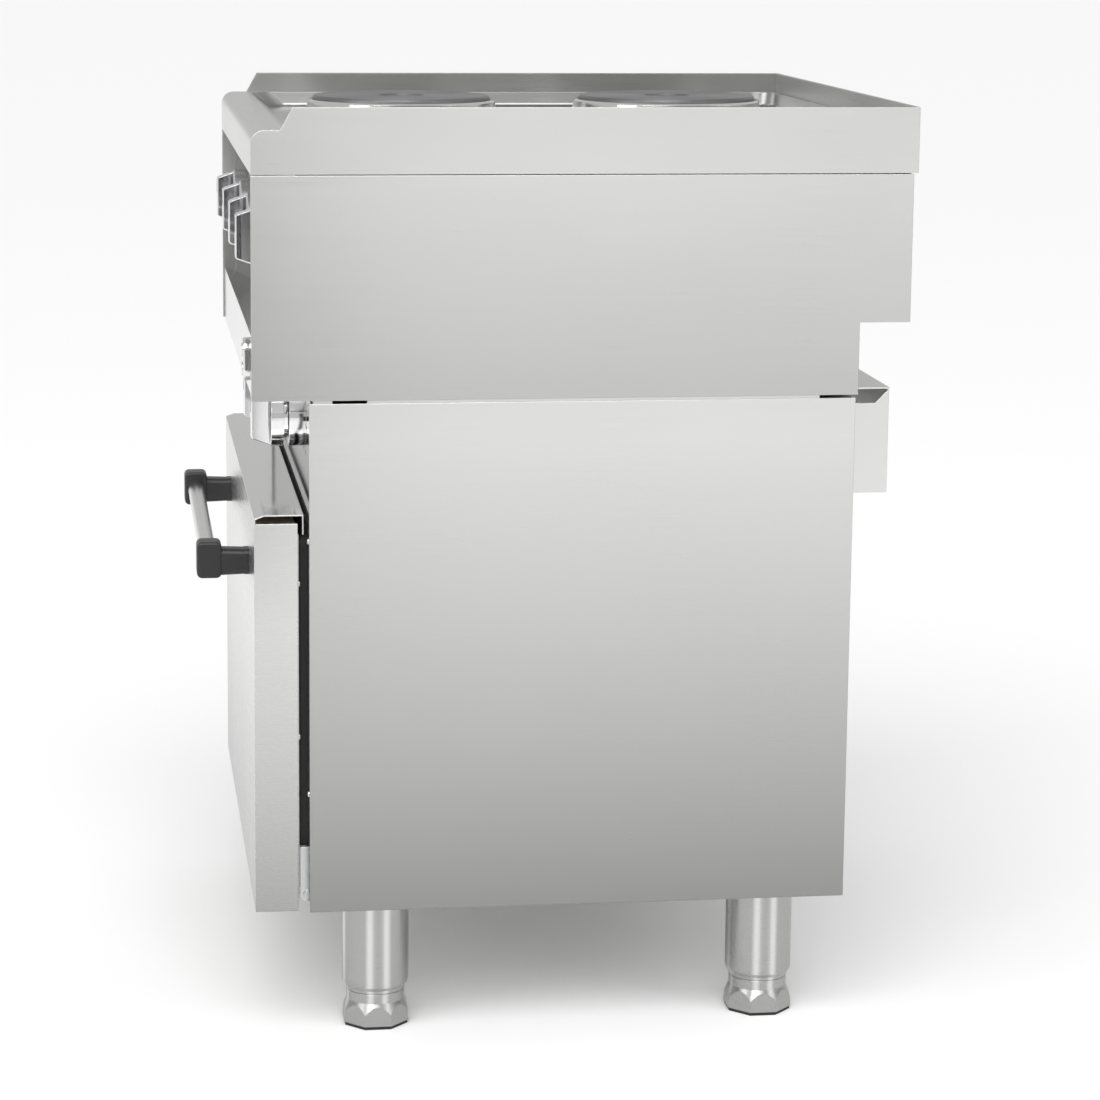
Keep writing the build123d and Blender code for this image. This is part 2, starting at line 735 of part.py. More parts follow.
def switch_body(x, z, panel_depth):
    """A rotary switch behind its panel, with the blind bore for the spindle."""
    back = panel_depth + SHEET
    half = SWITCH_WIDTH / 2.0
    rise = SWITCH_HEIGHT / 2.0
    body = block(x - half, x + half, back, back + SWITCH_DEPTH, z - rise, z + rise)
    return body - disc(x, z, back - 1, back + SPINDLE_LENGTH + GAP, SPINDLE_RADIUS + SHAFT_GAP)


# Cabinet

def cabinet_side(side):
    panel = block(CAB_INNER, CAB_HALF, CABINET_FRONT, CABINET_REAR, BASE_Z, CAB_TOP_Z)
    panel += block(CAB_INNER - SIDE_FLANGE, CAB_INNER, LEG_FRONT_DEPTH - LEG_RADIUS, CABINET_REAR - SHEET,
                   BASE_Z, BASE_UNDER_Z)
    return panel if side > 0 else mirror(panel, Plane.YZ)


def cabinet_base():
    return block(-CAB_INNER, CAB_INNER, BASE_FRONT, CABINET_REAR - SHEET, BASE_UNDER_Z, BASE_TOP_Z)


def cabinet_back():
    """The rear wall, with the steam pipe's hole, the gland's hole and a row of cooling slots."""
    front, back = CABINET_REAR - 2 * SHEET, CABINET_REAR + SHEET
    wall = block(-CAB_INNER, CAB_INNER, CABINET_REAR - SHEET, CABINET_REAR, BASE_Z, CAB_TOP_Z - SHEET)
    wall -= disc(VENT_X, VENT_Z, front, back, VENT_RADIUS + GAP)
    wall -= disc(GLAND_X, GLAND_Z, front, back, GLAND_THREAD + GAP)
    low = BASE_Z + BACK_VENT_RISE
    for i in range(BACK_VENTS):
        x = -HOOD_HALF + BACK_VENT_START + i * BACK_VENT_PITCH
        wall -= block(x - VENT_SLOT / 2, x + VENT_SLOT / 2, front, back, low, low + BACK_VENT_HEIGHT)
    return wall


def cabinet_top():
    """The closing plate, with a raised strip on each side that carries the hob module."""
    front = OVEN_FASCIA_DEPTH + SHEET
    plate = block(-CAB_INNER, CAB_INNER, front, CABINET_REAR, CAB_TOP_Z - SHEET, CAB_TOP_Z)
    outer = CAB_HALF - SHEET
    slit_end = CABINET_REAR - SLIT_REAR
    for side in (-1, 1):
        x0, x1 = sorted((side * (outer - SIDE_FLANGE), side * outer))
        plate += block(x0, x1, front, SLIT_START, CAB_TOP_Z, HOB_Z)
        plate += block(x0, x1, SLIT_START + SLIT_LENGTH, slit_end, CAB_TOP_Z, HOB_Z)
    return plate


def oven_fascia():
    back = OVEN_FASCIA_DEPTH
    plate = block(-CAB_INNER, CAB_INNER, back, back + SHEET, DOOR_TOP_Z + SHEET, CAB_TOP_Z)
    plate += block(-CAB_INNER, CAB_INNER, CABINET_FRONT, back + SHEET, DOOR_TOP_Z, DOOR_TOP_Z + SHEET)
    for x in OVEN_KNOBS_X:
        plate -= disc(x, OVEN_KNOB_Z, back - 1, back + 2 * SHEET, SPINDLE_HOLE)
    return plate


def front_frame():
    """The plate round the oven mouth, cut away at both hinges."""
    plate = block(-CAB_INNER, CAB_INNER, CABINET_FRONT, FRAME_BACK, FRAME_FOOT_Z, DOOR_TOP_Z)
    plate -= block(-CAVITY_HALF, CAVITY_HALF, CABINET_FRONT - 1, FRAME_BACK + 1, CAVITY_Z, CAVITY_TOP_Z)
    for side in (-1, 1):
        x0, x1 = sorted((side * HINGE_POCKET_X, side * (CAB_INNER + 1)))
        plate -= block(x0, x1, CABINET_FRONT - 1, FRAME_BACK + 1, BASE_Z - 1, HINGE_POCKET_Z)
    return plate


def door_seal():
    """A black gasket round the oven mouth, a little short of the closed door."""
    width = CAVITY_HALF + SEAL_MARGIN + SEAL_WIDTH
    low = CAVITY_Z - SEAL_MARGIN - SEAL_WIDTH
    high = CAVITY_TOP_Z + SEAL_MARGIN + SEAL_WIDTH
    ring = block(-width, width, LINER_FACE + GAP, CABINET_FRONT, low, high)
    ring = fillet(ring.edges().filter_by(Axis.Y), SEAL_CORNER)
    inner = width - SEAL_WIDTH
    hole = block(-inner, inner, LINER_FACE - 1, CABINET_FRONT + 1, low + SEAL_WIDTH, high - SEAL_WIDTH)
    ring -= fillet(hole.edges().filter_by(Axis.Y), SEAL_CORNER - SEAL_WIDTH + SEAL_MARGIN)
    return fillet(ring.faces().sort_by(Axis.Y)[0].edges(), SEAL_EDGE)


# Oven cavity

def cavity_liner():
    outer = CAVITY_HALF + LINER_SHEET
    back = CAVITY_BACK + LINER_SHEET
    box = block(-outer, outer, FRAME_BACK, back, CAVITY_Z - LINER_SHEET, CAVITY_TOP_Z + LINER_SHEET)
    box -= block(-CAVITY_HALF, CAVITY_HALF, FRAME_BACK - 1, CAVITY_BACK, CAVITY_Z, CAVITY_TOP_Z)
    box -= disc(0, FAN_Z, CAVITY_BACK - 1, back + 1, SHAFT_RADIUS + 1)
    for x, radius, _ in element_legs():
        box -= disc(x, element_leg_height(x, radius), CAVITY_BACK - 1, back + 1, ELEMENT_ROD + GAP)
    return box - post(VENT_X, VENT_DEPTH, CAVITY_TOP_Z - 1, CAVITY_TOP_Z + 2 * LINER_SHEET, VENT_RADIUS)


def cavity_insulation():
    """Mineral wool between the liner and the cabinet, with room for hinges, motor and vent."""
    inner = CAVITY_HALF + LINER_SHEET
    back = CAVITY_BACK + LINER_SHEET
    rear = back + REAR_WOOL
    low = BASE_TOP_Z
    high = DOOR_TOP_Z
    wool = block(-CAB_INNER, CAB_INNER, FRAME_BACK, rear, low, high)
    wool -= block(-inner, inner, FRAME_BACK - 1, back, CAVITY_Z - LINER_SHEET, CAVITY_TOP_Z + LINER_SHEET)
    wool -= disc(0, FAN_Z, back - 1, rear + 1, MOTOR_FLANGE + SHEET)
    wool -= post(VENT_X, VENT_DEPTH, CAVITY_TOP_Z, high + 1, VENT_RADIUS + GAP)
    for x, radius, _ in element_legs():
        wool -= disc(x, element_leg_height(x, radius), back - 1, rear + 1, ELEMENT_ROD + GAP)
    wool -= block(-CAB_INNER - 1, CAB_INNER + 1, FRAME_BACK - 1, BASE_FRONT, low - 1, FRAME_FOOT_Z)
    pocket_back = FRAME_BACK + HINGE_BRACKET_REACH + HINGE_HEADROOM
    for side in (-1, 1):
        x0, x1 = sorted((side * HINGE_POCKET_X, side * (CAB_INNER + 1)))
        wool -= block(x0, x1, FRAME_BACK - 1, pocket_back, low - 1, HINGE_POCKET_Z)
    return wool


def runner_level(level):
    return CAVITY_Z + RUNNER_FIRST + level * RUNNER_PITCH


def shelf_runner(side):
    """A wire side rack: two uprights and one bent wire for each level."""
    wall = side * (CAVITY_HALF - GAP - RUNNER_RADIUS)
    inside = side * (CAVITY_HALF - RUNNER_INSET)
    low = CAVITY_Z + GAP
    high = runner_level(RUNNER_LEVELS - 1) + RUNNER_TOP
    rack = Part()
    for depth in (RUNNER_START, RUNNER_END):
        rack += post(wall, depth, low, high, RUNNER_RADIUS)
    for level in range(RUNNER_LEVELS):
        z = runner_level(level)
        path = FilletPolyline(
            at(wall, RUNNER_START, z),
            at(inside, RUNNER_START, z),
            at(inside, RUNNER_END, z),
            at(wall, RUNNER_END, z),
            radius=RUNNER_RADIUS + 1.0,
        )
        rack += sweep(Plane(origin=path @ 0, z_dir=path % 0) * Circle(RUNNER_WIRE), path=path)
    return rack


def wire_shelf(level):
    """A wire shelf: a round frame, cross wires and two stiffening rods below."""
    half = SHELF_WIDTH / 2.0 - SHELF_ROD
    first = SHELF_START + SHELF_ROD
    last = SHELF_START + SHELF_DEPTH - SHELF_ROD
    z = runner_level(level) + RUNNER_WIRE + GAP + SHELF_ROD
    frame = FilletPolyline(
        at(-half, first, z),
        at(half, first, z),
        at(half, last, z),
        at(-half, last, z),
        radius=3 * SHELF_ROD,
        close=True,
    )
    shelf = sweep(Plane(origin=frame @ 0, z_dir=frame % 0) * Circle(SHELF_ROD), path=frame)
    top = z + SHELF_ROD - SHELF_WIRE
    step = 2 * half / (SHELF_WIRES + 1)
    for i in range(SHELF_WIRES):
        x = -half + (i + 1) * step
        shelf += rod(at(x, first, top), at(x, last, top), SHELF_WIRE)
    for part in (1, 2):
        depth = first + part * (last - first) / 3.0
        below = top - SHELF_WIRE - SHELF_WIRE / 2.0
        shelf += rod(at(-half, depth, below), at(half, depth, below), SHELF_WIRE)
    return shelf


def fan_baffle():
    """The perforated plate in front of the fan, folded back at its top and foot."""
    half = CAVITY_HALF - BAFFLE_MARGIN
    low = CAVITY_Z + BAFFLE_MARGIN
    high = CAVITY_TOP_Z - BAFFLE_MARGIN
    face = BAFFLE_DEPTH + LINER_SHEET
    plate = block(-half, half, BAFFLE_DEPTH, face, low, high)
    plate += block(-half, half, face, CAVITY_BACK, low, low + LINER_SHEET)
    plate += block(-half, half, face, CAVITY_BACK, high - LINER_SHEET, high)
    holes = disc(0, FAN_Z, BAFFLE_DEPTH - 1, face + 1, BAFFLE_HOLE)
    for ring in range(1, BAFFLE_RINGS):
        count = 6 * ring
        radius = ring * BAFFLE_HOLE_PITCH
        for i in range(count):
            angle = 2 * math.pi * i / count
            x = radius * math.cos(angle)
            z = FAN_Z + radius * math.sin(angle)
            holes += disc(x, z, BAFFLE_DEPTH - 1, face + 1, BAFFLE_HOLE)
    pitch = (high - low - 2 * BAFFLE_SLOT_MARGIN) / BAFFLE_SLOTS
    slot_out = half - BAFFLE_SLOT_INSET
    slot_in = slot_out - BAFFLE_SLOT_LENGTH
    rise = BAFFLE_SLOT_HEIGHT / 2.0
    for side in (-1, 1):
        x0, x1 = sorted((side * slot_out, side * slot_in))
        for i in range(BAFFLE_SLOTS):
            z = low + BAFFLE_SLOT_MARGIN + (i + 0.5) * pitch
            holes += block(x0, x1, BAFFLE_DEPTH - 1, face + 1, z - rise, z + rise)
    return plate - holes


# Fan, elements and vent

def element_legs():
    """Where each ring's leg stands: x, ring radius and ring depth."""
    legs = []
    for turn, x in enumerate((-ELEMENT_SPACING, ELEMENT_SPACING)):
        depth = CAVITY_BACK - ELEMENT_STAND + (turn - 0.5) * ELEMENT_SPACING
        legs.append((x, ELEMENT_RADIUS - turn * ELEMENT_STEP, depth))
    return legs


def element_leg_height(x, radius):
    return FAN_Z + math.sqrt(radius ** 2 - x ** 2)


def ring_element():
    """Two heating rings round the fan, each with a leg out through the rear wall."""
    rings = []
    for x, radius, depth in element_legs():
        centre = at(0, depth, FAN_Z)
        ring = Plane(origin=centre, x_dir=(1, 0, 0), z_dir=(0, 1, 0)) * Torus(radius, ELEMENT_ROD)
        z = element_leg_height(x, radius)
        rings.append(ring + disc(x, z, depth + 1, CAVITY_BACK + ELEMENT_TAIL, ELEMENT_ROD))
    return rings


def fan_back():
    return CAVITY_BACK - FAN_GAP


def fan_wheel():
    """A radial wheel: back disc, hub, straight blades and the motor shaft."""
    back = fan_back()
    front = back - FAN_WIDTH
    wheel = disc(0, FAN_Z, back - LINER_SHEET, back, FAN_RADIUS)
    wheel += disc(0, FAN_Z, front + HUB_STEP, back, FAN_HUB)
    for i in range(FAN_BLADES):
        blade = block(FAN_EYE, FAN_RADIUS - 1, front, back, -LINER_SHEET / 2, LINER_SHEET / 2)
        turn = Rot(0, 360.0 * i / FAN_BLADES, 0)
        wheel += Pos(0, 0, FAN_Z) * (turn * blade)
    wheel += disc(0, FAN_Z, front + SHAFT_STEP, motor_front() + SHAFT_IN_MOTOR, SHAFT_RADIUS)
    return wheel


def motor_front():
    return CAVITY_BACK + LINER_SHEET


def fan_motor():
    front = motor_front()
    motor = disc(0, FAN_Z, front, front + MOTOR_PLATE, MOTOR_FLANGE)
    motor += disc(0, FAN_Z, front + MOTOR_PLATE, front + MOTOR_LENGTH, MOTOR_RADIUS)
    motor -= disc(0, FAN_Z, front - 1, front + SHAFT_IN_MOTOR + GAP, SHAFT_RADIUS + SHAFT_GAP)
    return motor


def thermostat_bulb():
    """A thin bulb under the cavity's roof with the clip at each end."""
    z = CAVITY_TOP_Z - BULB_DROP
    bulb = rod(at(-BULB_HALF, RUNNER_END, z), at(BULB_HALF, RUNNER_END, z), BULB_RADIUS)
    half = BULB_CLIP / 2.0
    front, back = RUNNER_END - BULB_CLIP, RUNNER_END + BULB_CLIP
    for x in (-BULB_CLIP_X, BULB_CLIP_X):
        bulb += block(x - half, x + half, front, back, z, CAVITY_TOP_Z)
    return bulb


def vent_pipe():
    """A steam pipe from the cavity's roof, back to the rear hood."""
    path = FilletPolyline(
        at(VENT_X, VENT_DEPTH, CAVITY_TOP_Z + LINER_SHEET),
        at(VENT_X, VENT_DEPTH, VENT_Z),
        at(VENT_X, CABINET_REAR + VENT_TAIL, VENT_Z),
        radius=VENT_BEND,
    )
    start = Plane(origin=path @ 0, z_dir=path % 0)
    outer = sweep(start * Circle(VENT_RADIUS), path=path)
    return outer - sweep(start * Circle(VENT_RADIUS - SHEET), path=path)


def rear_vent_hood():
    """A folded cover, open at its foot, with ends that stop short of its top."""
    front = CABINET_REAR
    back = HOOD_BACK
    half = HOOD_HALF
    top_start = NOTCH_START + GAP
    under = HOOD_TOP_Z - SHEET
    end_top = under - HOOD_END_OPENING
    hood = block(-half, half, back - SHEET, back, HOOD_FOOT_Z, HOOD_TOP_Z)
    hood += block(-half, half, top_start, back, under, HOOD_TOP_Z)
    for side in (-1, 1):
        x0, x1 = sorted((side * (half - SHEET), side * half))
        hood += across(
            [
                (front, HOOD_FOOT_Z - HOOD_END_DROP),
                (front, end_top),
                (back - HOOD_END_OPENING, end_top),
                (back, under),
                (back, HOOD_FOOT_Z - HOOD_END_DROP),
            ],
            x0,
            x1,
        )
    seat = block(half - HOOD_SEAT_WIDTH, half, front, front + SHEET, HOOD_FOOT_Z + HOOD_SEAT_RISE, end_top)
    hood += seat + mirror(seat, Plane.YZ)
    return hood


# Hinges and door

def hinge_bracket(side):
    """A fixed ear that stands on the cabinet's base, with its pin."""
    inner = HINGE_ARM_X + HINGE_ARM + GAP
    x0, x1 = sorted((side * inner, side * (inner + HINGE_EAR)))
    back = FRAME_BACK + HINGE_BRACKET_REACH
    ear = block(x0, x1, HINGE_DEPTH - HINGE_EYE, back, HINGE_Z, HINGE_TOP_Z)
    ear += block(x0, x1, BASE_FRONT, back, BASE_TOP_Z, HINGE_Z)
    ear += rod(at(x0, HINGE_DEPTH, HINGE_Z), at(x1, HINGE_DEPTH, HINGE_Z), HINGE_EYE)
    ear -= rod(at(x0 - 1, HINGE_DEPTH, HINGE_Z), at(x1 + 1, HINGE_DEPTH, HINGE_Z), HINGE_PIN)
    pin_in = side * (HINGE_ARM_X - PIN_END)
    pin_out = side * (inner + HINGE_EAR + PIN_END)
    pin = rod(at(pin_in, HINGE_DEPTH, HINGE_Z), at(pin_out, HINGE_DEPTH, HINGE_Z), HINGE_PIN)
    return [ear, pin]


def hinge_arm(side):
    """The door's half of the hinge, an eye on a plate against the inner liner."""
    x0, x1 = sorted((side * HINGE_ARM_X, side * (HINGE_ARM_X + HINGE_ARM)))
    arm = across(
        [
            (LINER_FACE, HINGE_Z + HINGE_EYE),
            (LINER_FACE, HINGE_TOP_Z),
            (HINGE_DEPTH, HINGE_TOP_Z),
            (HINGE_DEPTH, HINGE_Z),
        ],
        x0,
        x1,
    )
    arm += rod(at(x0, HINGE_DEPTH, HINGE_Z), at(x1, HINGE_DEPTH, HINGE_Z), HINGE_EYE)
    bore = HINGE_PIN + SHAFT_GAP
    arm -= rod(at(x0 - 1, HINGE_DEPTH, HINGE_Z), at(x1 + 1, HINGE_DEPTH, HINGE_Z), bore)
    return arm


def door_skin():
    """The outer pan: flat face, bevelled top, rear lip, foot flange and short side flanges."""
    top = across(
        [
            (DOOR_FACE, DOOR_Z),
            (DOOR_FACE, DOOR_TOP_Z - DOOR_BEVEL_DROP),
            (DOOR_FACE + DOOR_BEVEL_DEPTH, DOOR_TOP_Z),
            (DOOR_LIP_DEPTH, DOOR_TOP_Z),
            (DOOR_LIP_DEPTH, DOOR_TOP_Z - DOOR_LIP),
            (DOOR_LIP_DEPTH - DOOR_SHEET, DOOR_TOP_Z - DOOR_LIP),
            (DOOR_LIP_DEPTH - DOOR_SHEET, DOOR_TOP_Z - DOOR_SHEET),
            (DOOR_FACE + DOOR_BEVEL_DEPTH, DOOR_TOP_Z - DOOR_SHEET),
            (DOOR_FACE + DOOR_SHEET, DOOR_TOP_Z - DOOR_BEVEL_DROP - DOOR_SHEET),
            (DOOR_FACE + DOOR_SHEET, DOOR_Z + DOOR_SHEET),
            (DOOR_BACK, DOOR_Z + DOOR_SHEET),
            (DOOR_BACK, DOOR_Z),
        ],
        -DOOR_HALF,
        DOOR_HALF,
    )
    side_top = DOOR_TOP_Z - DOOR_SIDE_SHORT
    for side in (-1, 1):
        x0, x1 = sorted((side * (DOOR_HALF - DOOR_SHEET), side * DOOR_HALF))
        top += block(x0, x1, DOOR_FACE, DOOR_BACK, DOOR_Z, side_top)
        x0, x1 = sorted((side * (DOOR_HALF - DOOR_RETURN), side * DOOR_HALF))
        top += block(x0, x1, DOOR_BACK - DOOR_SHEET, DOOR_BACK, DOOR_Z, side_top)
    return top


def door_liner():
    """The inner plate with its pressed centre panel facing the cavity."""
    half = DOOR_HALF - LINER_EDGE
    low = DOOR_Z + LINER_EDGE
    high = DOOR_TOP_Z - DOOR_LIP - 1.0
    plate = block(-half, half, DOOR_BACK, LINER_FACE, low, high)
    inner = CAVITY_HALF - LINER_PRESS_MARGIN
    press_low = CAVITY_Z + LINER_PRESS_MARGIN
    press_high = CAVITY_TOP_Z - LINER_PRESS_MARGIN
    bump = block(-inner, inner, DOOR_BACK, LINER_FACE + LINER_PRESS, press_low, press_high)
    bump = fillet(bump.edges().filter_by(Axis.Y), LINER_PRESS_CORNER)
    bump = chamfer(bump.faces().sort_by(Axis.Y)[-1].edges(), LINER_PRESS_SLOPE)
    rim = inner - LINER_RIM
    hollow = block(-rim, rim, DOOR_BACK - 1, LINER_FACE + LINER_PRESS - DOOR_SHEET,
                   press_low + LINER_RIM, press_high - LINER_RIM)
    return plate + bump - hollow


def door_insulation():
    half = DOOR_HALF - DOOR_SHEET - GAP
    low = DOOR_Z + DOOR_SHEET + GAP
    high = DOOR_TOP_Z - DOOR_SIDE_SHORT - DOOR_WOOL_GAP
    return block(-half, half, DOOR_FACE + DOOR_SHEET, DOOR_BACK - DOOR_SHEET, low, high)


def handle_tube():
    reach = HANDLE_HALF + BRACKET_WIDTH / 2.0 - BRACKET_CAP
    depth = -HANDLE_TUBE_DEPTH
    tube = rod(at(-reach, depth, HANDLE_Z), at(reach, depth, HANDLE_Z), HANDLE_TUBE)
    return tube - rod(at(-reach - 1, depth, HANDLE_Z), at(reach + 1, depth, HANDLE_Z), HANDLE_TUBE - SHEET)


def arm_section(depth, width, height):
    """One rounded outline of a bracket's arm."""
    plane = Plane(origin=at(HANDLE_HALF, depth, HANDLE_Z - ARM_DROP), x_dir=(1, 0, 0), z_dir=(0, 1, 0))
    return plane * RectangleRounded(width, height, ARM_CORNER)


def handle_bracket(side):
    """A moulded bracket: a rounded boss round the tube's end and a tapered arm to the door."""
    half = BRACKET_WIDTH / 2.0
    x0, x1 = HANDLE_HALF - half, HANDLE_HALF + half
    boss_back = BRACKET_DEPTH - HANDLE_REACH
    low = HANDLE_Z - BRACKET_HALF_HEIGHT
    high = HANDLE_Z + BRACKET_HALF_HEIGHT
    boss = block(x0, x1, -HANDLE_REACH, boss_back, low, high)
    boss = fillet(boss.edges().filter_by(Axis.X), BRACKET_CORNER)
    for face in (0, -1):
        boss = fillet(boss.faces().sort_by(Axis.X)[face].edges(), BRACKET_EDGE)
    root = boss_back - BRACKET_CORNER - 1
    narrow = BRACKET_WIDTH - BRACKET_EDGE
    arm = loft([arm_section(root, narrow, ARM_ROOT), arm_section(DOOR_FACE, narrow, ARM_FOOT)])
    collar = arm_section(DOOR_FACE - ARM_COLLAR, narrow + ARM_LIP, ARM_FOOT + ARM_LIP)
    arm += extrude(collar, amount=ARM_COLLAR)
    tube_start = at(x0 - 1, -HANDLE_TUBE_DEPTH, HANDLE_Z)
    tube_end = at(x1 - BRACKET_CAP, -HANDLE_TUBE_DEPTH, HANDLE_Z)
    hole = rod(tube_start, tube_end, HANDLE_TUBE)
    bracket = boss + arm - hole
    return bracket if side > 0 else mirror(bracket, Plane.YZ)


# Legs and feet

def leg(x, depth):
    """A tube leg that narrows to a threaded sleeve at its foot."""
    wall = LEG_RADIUS - LEG_WALL
    bore = FOOT_STEM + GAP
    taper_top = LEG_CLEAR + LEG_TAPER
    return turned(
        [
            (bore, LEG_CLEAR),
            (LEG_TIP_RADIUS, LEG_CLEAR),
            (LEG_TIP_RADIUS + LEG_SHOULDER_IN, LEG_CLEAR + LEG_TIP),
            (LEG_RADIUS - LEG_SHOULDER_IN, taper_top - LEG_SHOULDER),
            (LEG_RADIUS, taper_top),
            (LEG_RADIUS, BASE_UNDER_Z),
            (wall, BASE_UNDER_Z),
            (wall, taper_top + LEG_TIP),
            (bore + SLEEVE_WALL, taper_top + LEG_TIP),
            (bore + SLEEVE_WALL, taper_top + SLEEVE_LENGTH),
            (bore, taper_top + SLEEVE_LENGTH),
        ],
        x,
        depth,
    )


def octagon(x, depth, z, radius):
    turn = 180.0 / 8
    return Plane(origin=at(x, depth, z)) * RegularPolygon(radius, 8, rotation=turn)


def foot(x, depth):
    """A foot that is round at its top and eight-sided below, with the stem that screws into the leg."""
    neck_top = LEG_CLEAR - GAP
    low = octagon(x, depth, PAD_THICKNESS, FOOT_ACROSS)
    body = loft([low, octagon(x, depth, neck_top, FOOT_TOP_ACROSS)])
    body &= turned(
        [
            (0, PAD_THICKNESS),
            (FOOT_ACROSS, PAD_THICKNESS),
            (FOOT_ACROSS, PAD_THICKNESS + FOOT_ROUND_RISE),
            (FOOT_NECK, neck_top - FOOT_NECK_DROP),
            (FOOT_NECK, neck_top),
            (0, neck_top),
        ],
        x,
        depth,
    )
    stem_top = LEG_CLEAR + LEG_TAPER + SLEEVE_LENGTH + FOOT_TRAVEL + STEM_SPARE
    return body + post(x, depth, PAD_THICKNESS, stem_top, FOOT_STEM)


def foot_pad(x, depth):
    return extrude(octagon(x, depth, 0, FOOT_ACROSS - PAD_INSET), amount=PAD_THICKNESS)


# Mains entry at the cabinet's lower rear

def terminal_block():
    """A block on the cabinet's base with a screw well for each wire."""
    x0 = GLAND_X + TERMINAL_OFFSET
    back = CABINET_REAR - SHEET - TERMINAL_BACK_GAP
    front = back - TERMINAL_DEPTH
    top = BASE_TOP_Z + TERMINAL_HEIGHT
    body = block(x0, x0 + TERMINALS * TERMINAL_PITCH, front, back, BASE_TOP_Z, top)
    for i in range(TERMINALS):
        screw_x = x0 + (i + 0.5) * TERMINAL_PITCH
        body -= post(screw_x, (front + back) / 2.0, top - TERMINAL_SCREW, top + 1, TERMINAL_SCREW)
    return body


def gland_hexagon(depth, length):
    plane = Plane(origin=at(GLAND_X, depth, GLAND_Z), z_dir=(0, 1, 0))
    return extrude(plane * RegularPolygon(GLAND_FLANGE, 6), amount=length)


def cable_gland():
    """A gland through the rear wall: locknut, thread, hexagon and dome nut."""
    inside = CABINET_REAR - SHEET
    dome_start = CABINET_REAR + GLAND_NUT
    dome_end = dome_start + GLAND_DOME
    gland = disc(GLAND_X, GLAND_Z, inside - GLAND_TAIL, dome_start, GLAND_THREAD)
    gland += gland_hexagon(CABINET_REAR, GLAND_NUT)
    gland += gland_hexagon(inside - GLAND_LOCKNUT, GLAND_LOCKNUT)
    dome = disc(GLAND_X, GLAND_Z, dome_start, dome_end, GLAND_DOME_RADIUS)
    gland += fillet(dome.faces().sort_by(Axis.Y)[-1].edges(), GLAND_DOME_EDGE)
    return gland - disc(GLAND_X, GLAND_Z, inside - GLAND_TAIL - 1, dome_end + 1, GLAND_BORE)


# Fasteners

def rear_screw(x, depth, z):
    head = disc(x, z, depth, depth + SCREW_HEAD, SCREW_RADIUS)
    return fillet(head.faces().sort_by(Axis.Y)[-1].edges(), SCREW_EDGE)


def leg_bolt(x, depth):
    plane = Plane(origin=at(x, depth, BASE_UNDER_Z - BOLT_HEAD_HEIGHT))
    return extrude(plane * RegularPolygon(BOLT_HEAD, 6), amount=BOLT_HEAD_HEIGHT)


def panel_screws():
    heads = []
    for side in (-1, 1):
        x = side * (HALF - HOB_SCREW_INSET)
        for z in (NOTCH_Z + HOB_SCREW_INSET, (NOTCH_Z + SEAM_Z) / 2.0, SEAM_Z - HOB_SCREW_INSET):
            heads.append(rear_screw(x, HOB_REAR, z))
        x = side * (CAB_INNER - BACK_SCREW_INSET)
        for z in (BASE_Z + BACK_SCREW_RISE, (BASE_Z + CAB_TOP_Z) / 2.0, CAB_TOP_Z - BACK_SCREW_RISE):
            heads.append(rear_screw(x, CABINET_REAR, z))
    return heads


def leg_bolts():
    heads = []
    for x, depth in LEG_PLACES.values():
        for step in (-1, 1):
            heads.append(leg_bolt(x, depth + step * BOLT_SPREAD))
    return heads


save("worktop", worktop())
save("worktop_surround", *worktop_surround())
save("hotplates", *[hotplate(x, depth) for x, depth in PLATE_PLACES])
save("hotplate_rims", *[hotplate_rim(x, depth) for x, depth in PLATE_PLACES])
save("hotplate_clamps", *[piece for x, depth in PLATE_PLACES for piece in hotplate_clamp(x, depth)])
save("hob_side_left", hob_side(-1))
save("hob_side_right", hob_side(1))
save("hob_rear_panel", *hob_rear_panel())
save("hob_base_pan", hob_base_pan())
save("control_panel", control_panel())
save("lower_fascia", lower_fascia())
save("indicator_lamps", *indicator_lamps())
save("terminal_block", terminal_block())
save("cable_gland", cable_gland())

bezels = []
switches = []
knob_names = ["hob_knob_1", "hob_knob_2", "hob_knob_3", "hob_knob_4", "oven_knob_1", "oven_knob_2"]
knob_places = [(x, HOB_KNOB_Z, PANEL_SETBACK) for x in HOB_KNOBS_X]
knob_places += [(x, OVEN_KNOB_Z, OVEN_FASCIA_DEPTH) for x in OVEN_KNOBS_X]
for name, (x, z, panel_depth) in zip(knob_names, knob_places):
    save(name, knob(x, z, panel_depth))
    bezels.append(knob_bezel(x, z, panel_depth))
    switches.append(switch_body(x, z, panel_depth))
save("knob_bezels", *bezels)
save("control_switches", *switches)

save("oven_fascia", oven_fascia())
save("cabinet_side_left", cabinet_side(-1))
save("cabinet_side_right", cabinet_side(1))
save("cabinet_base", cabinet_base())
save("cabinet_back", cabinet_back())
save("cabinet_top", cabinet_top())
save("front_frame", front_frame())
save("door_seal", door_seal())
save("cavity_liner", cavity_liner())
save("cavity_insulation", cavity_insulation())
save("shelf_runners", shelf_runner(-1), shelf_runner(1))
save("wire_shelf_lower", wire_shelf(0))
save("wire_shelf_upper", wire_shelf(2))
save("fan_baffle", fan_baffle())
save("ring_element", *ring_element())
save("fan_wheel", fan_wheel())
save("fan_motor", fan_motor())
save("thermostat_bulb", thermostat_bulb())
save("vent_pipe", vent_pipe())
save("rear_vent_hood", rear_vent_hood())

save("hinge_receivers", *[piece for side in (-1, 1) for piece in hinge_bracket(side)])
save("hinge_arms", hinge_arm(-1), hinge_arm(1))
save("door_skin", door_skin())
save("door_liner", door_liner())
save("door_insulation", door_insulation())
save("handle_tube", handle_tube())
save("handle_brackets", handle_bracket(-1), handle_bracket(1))

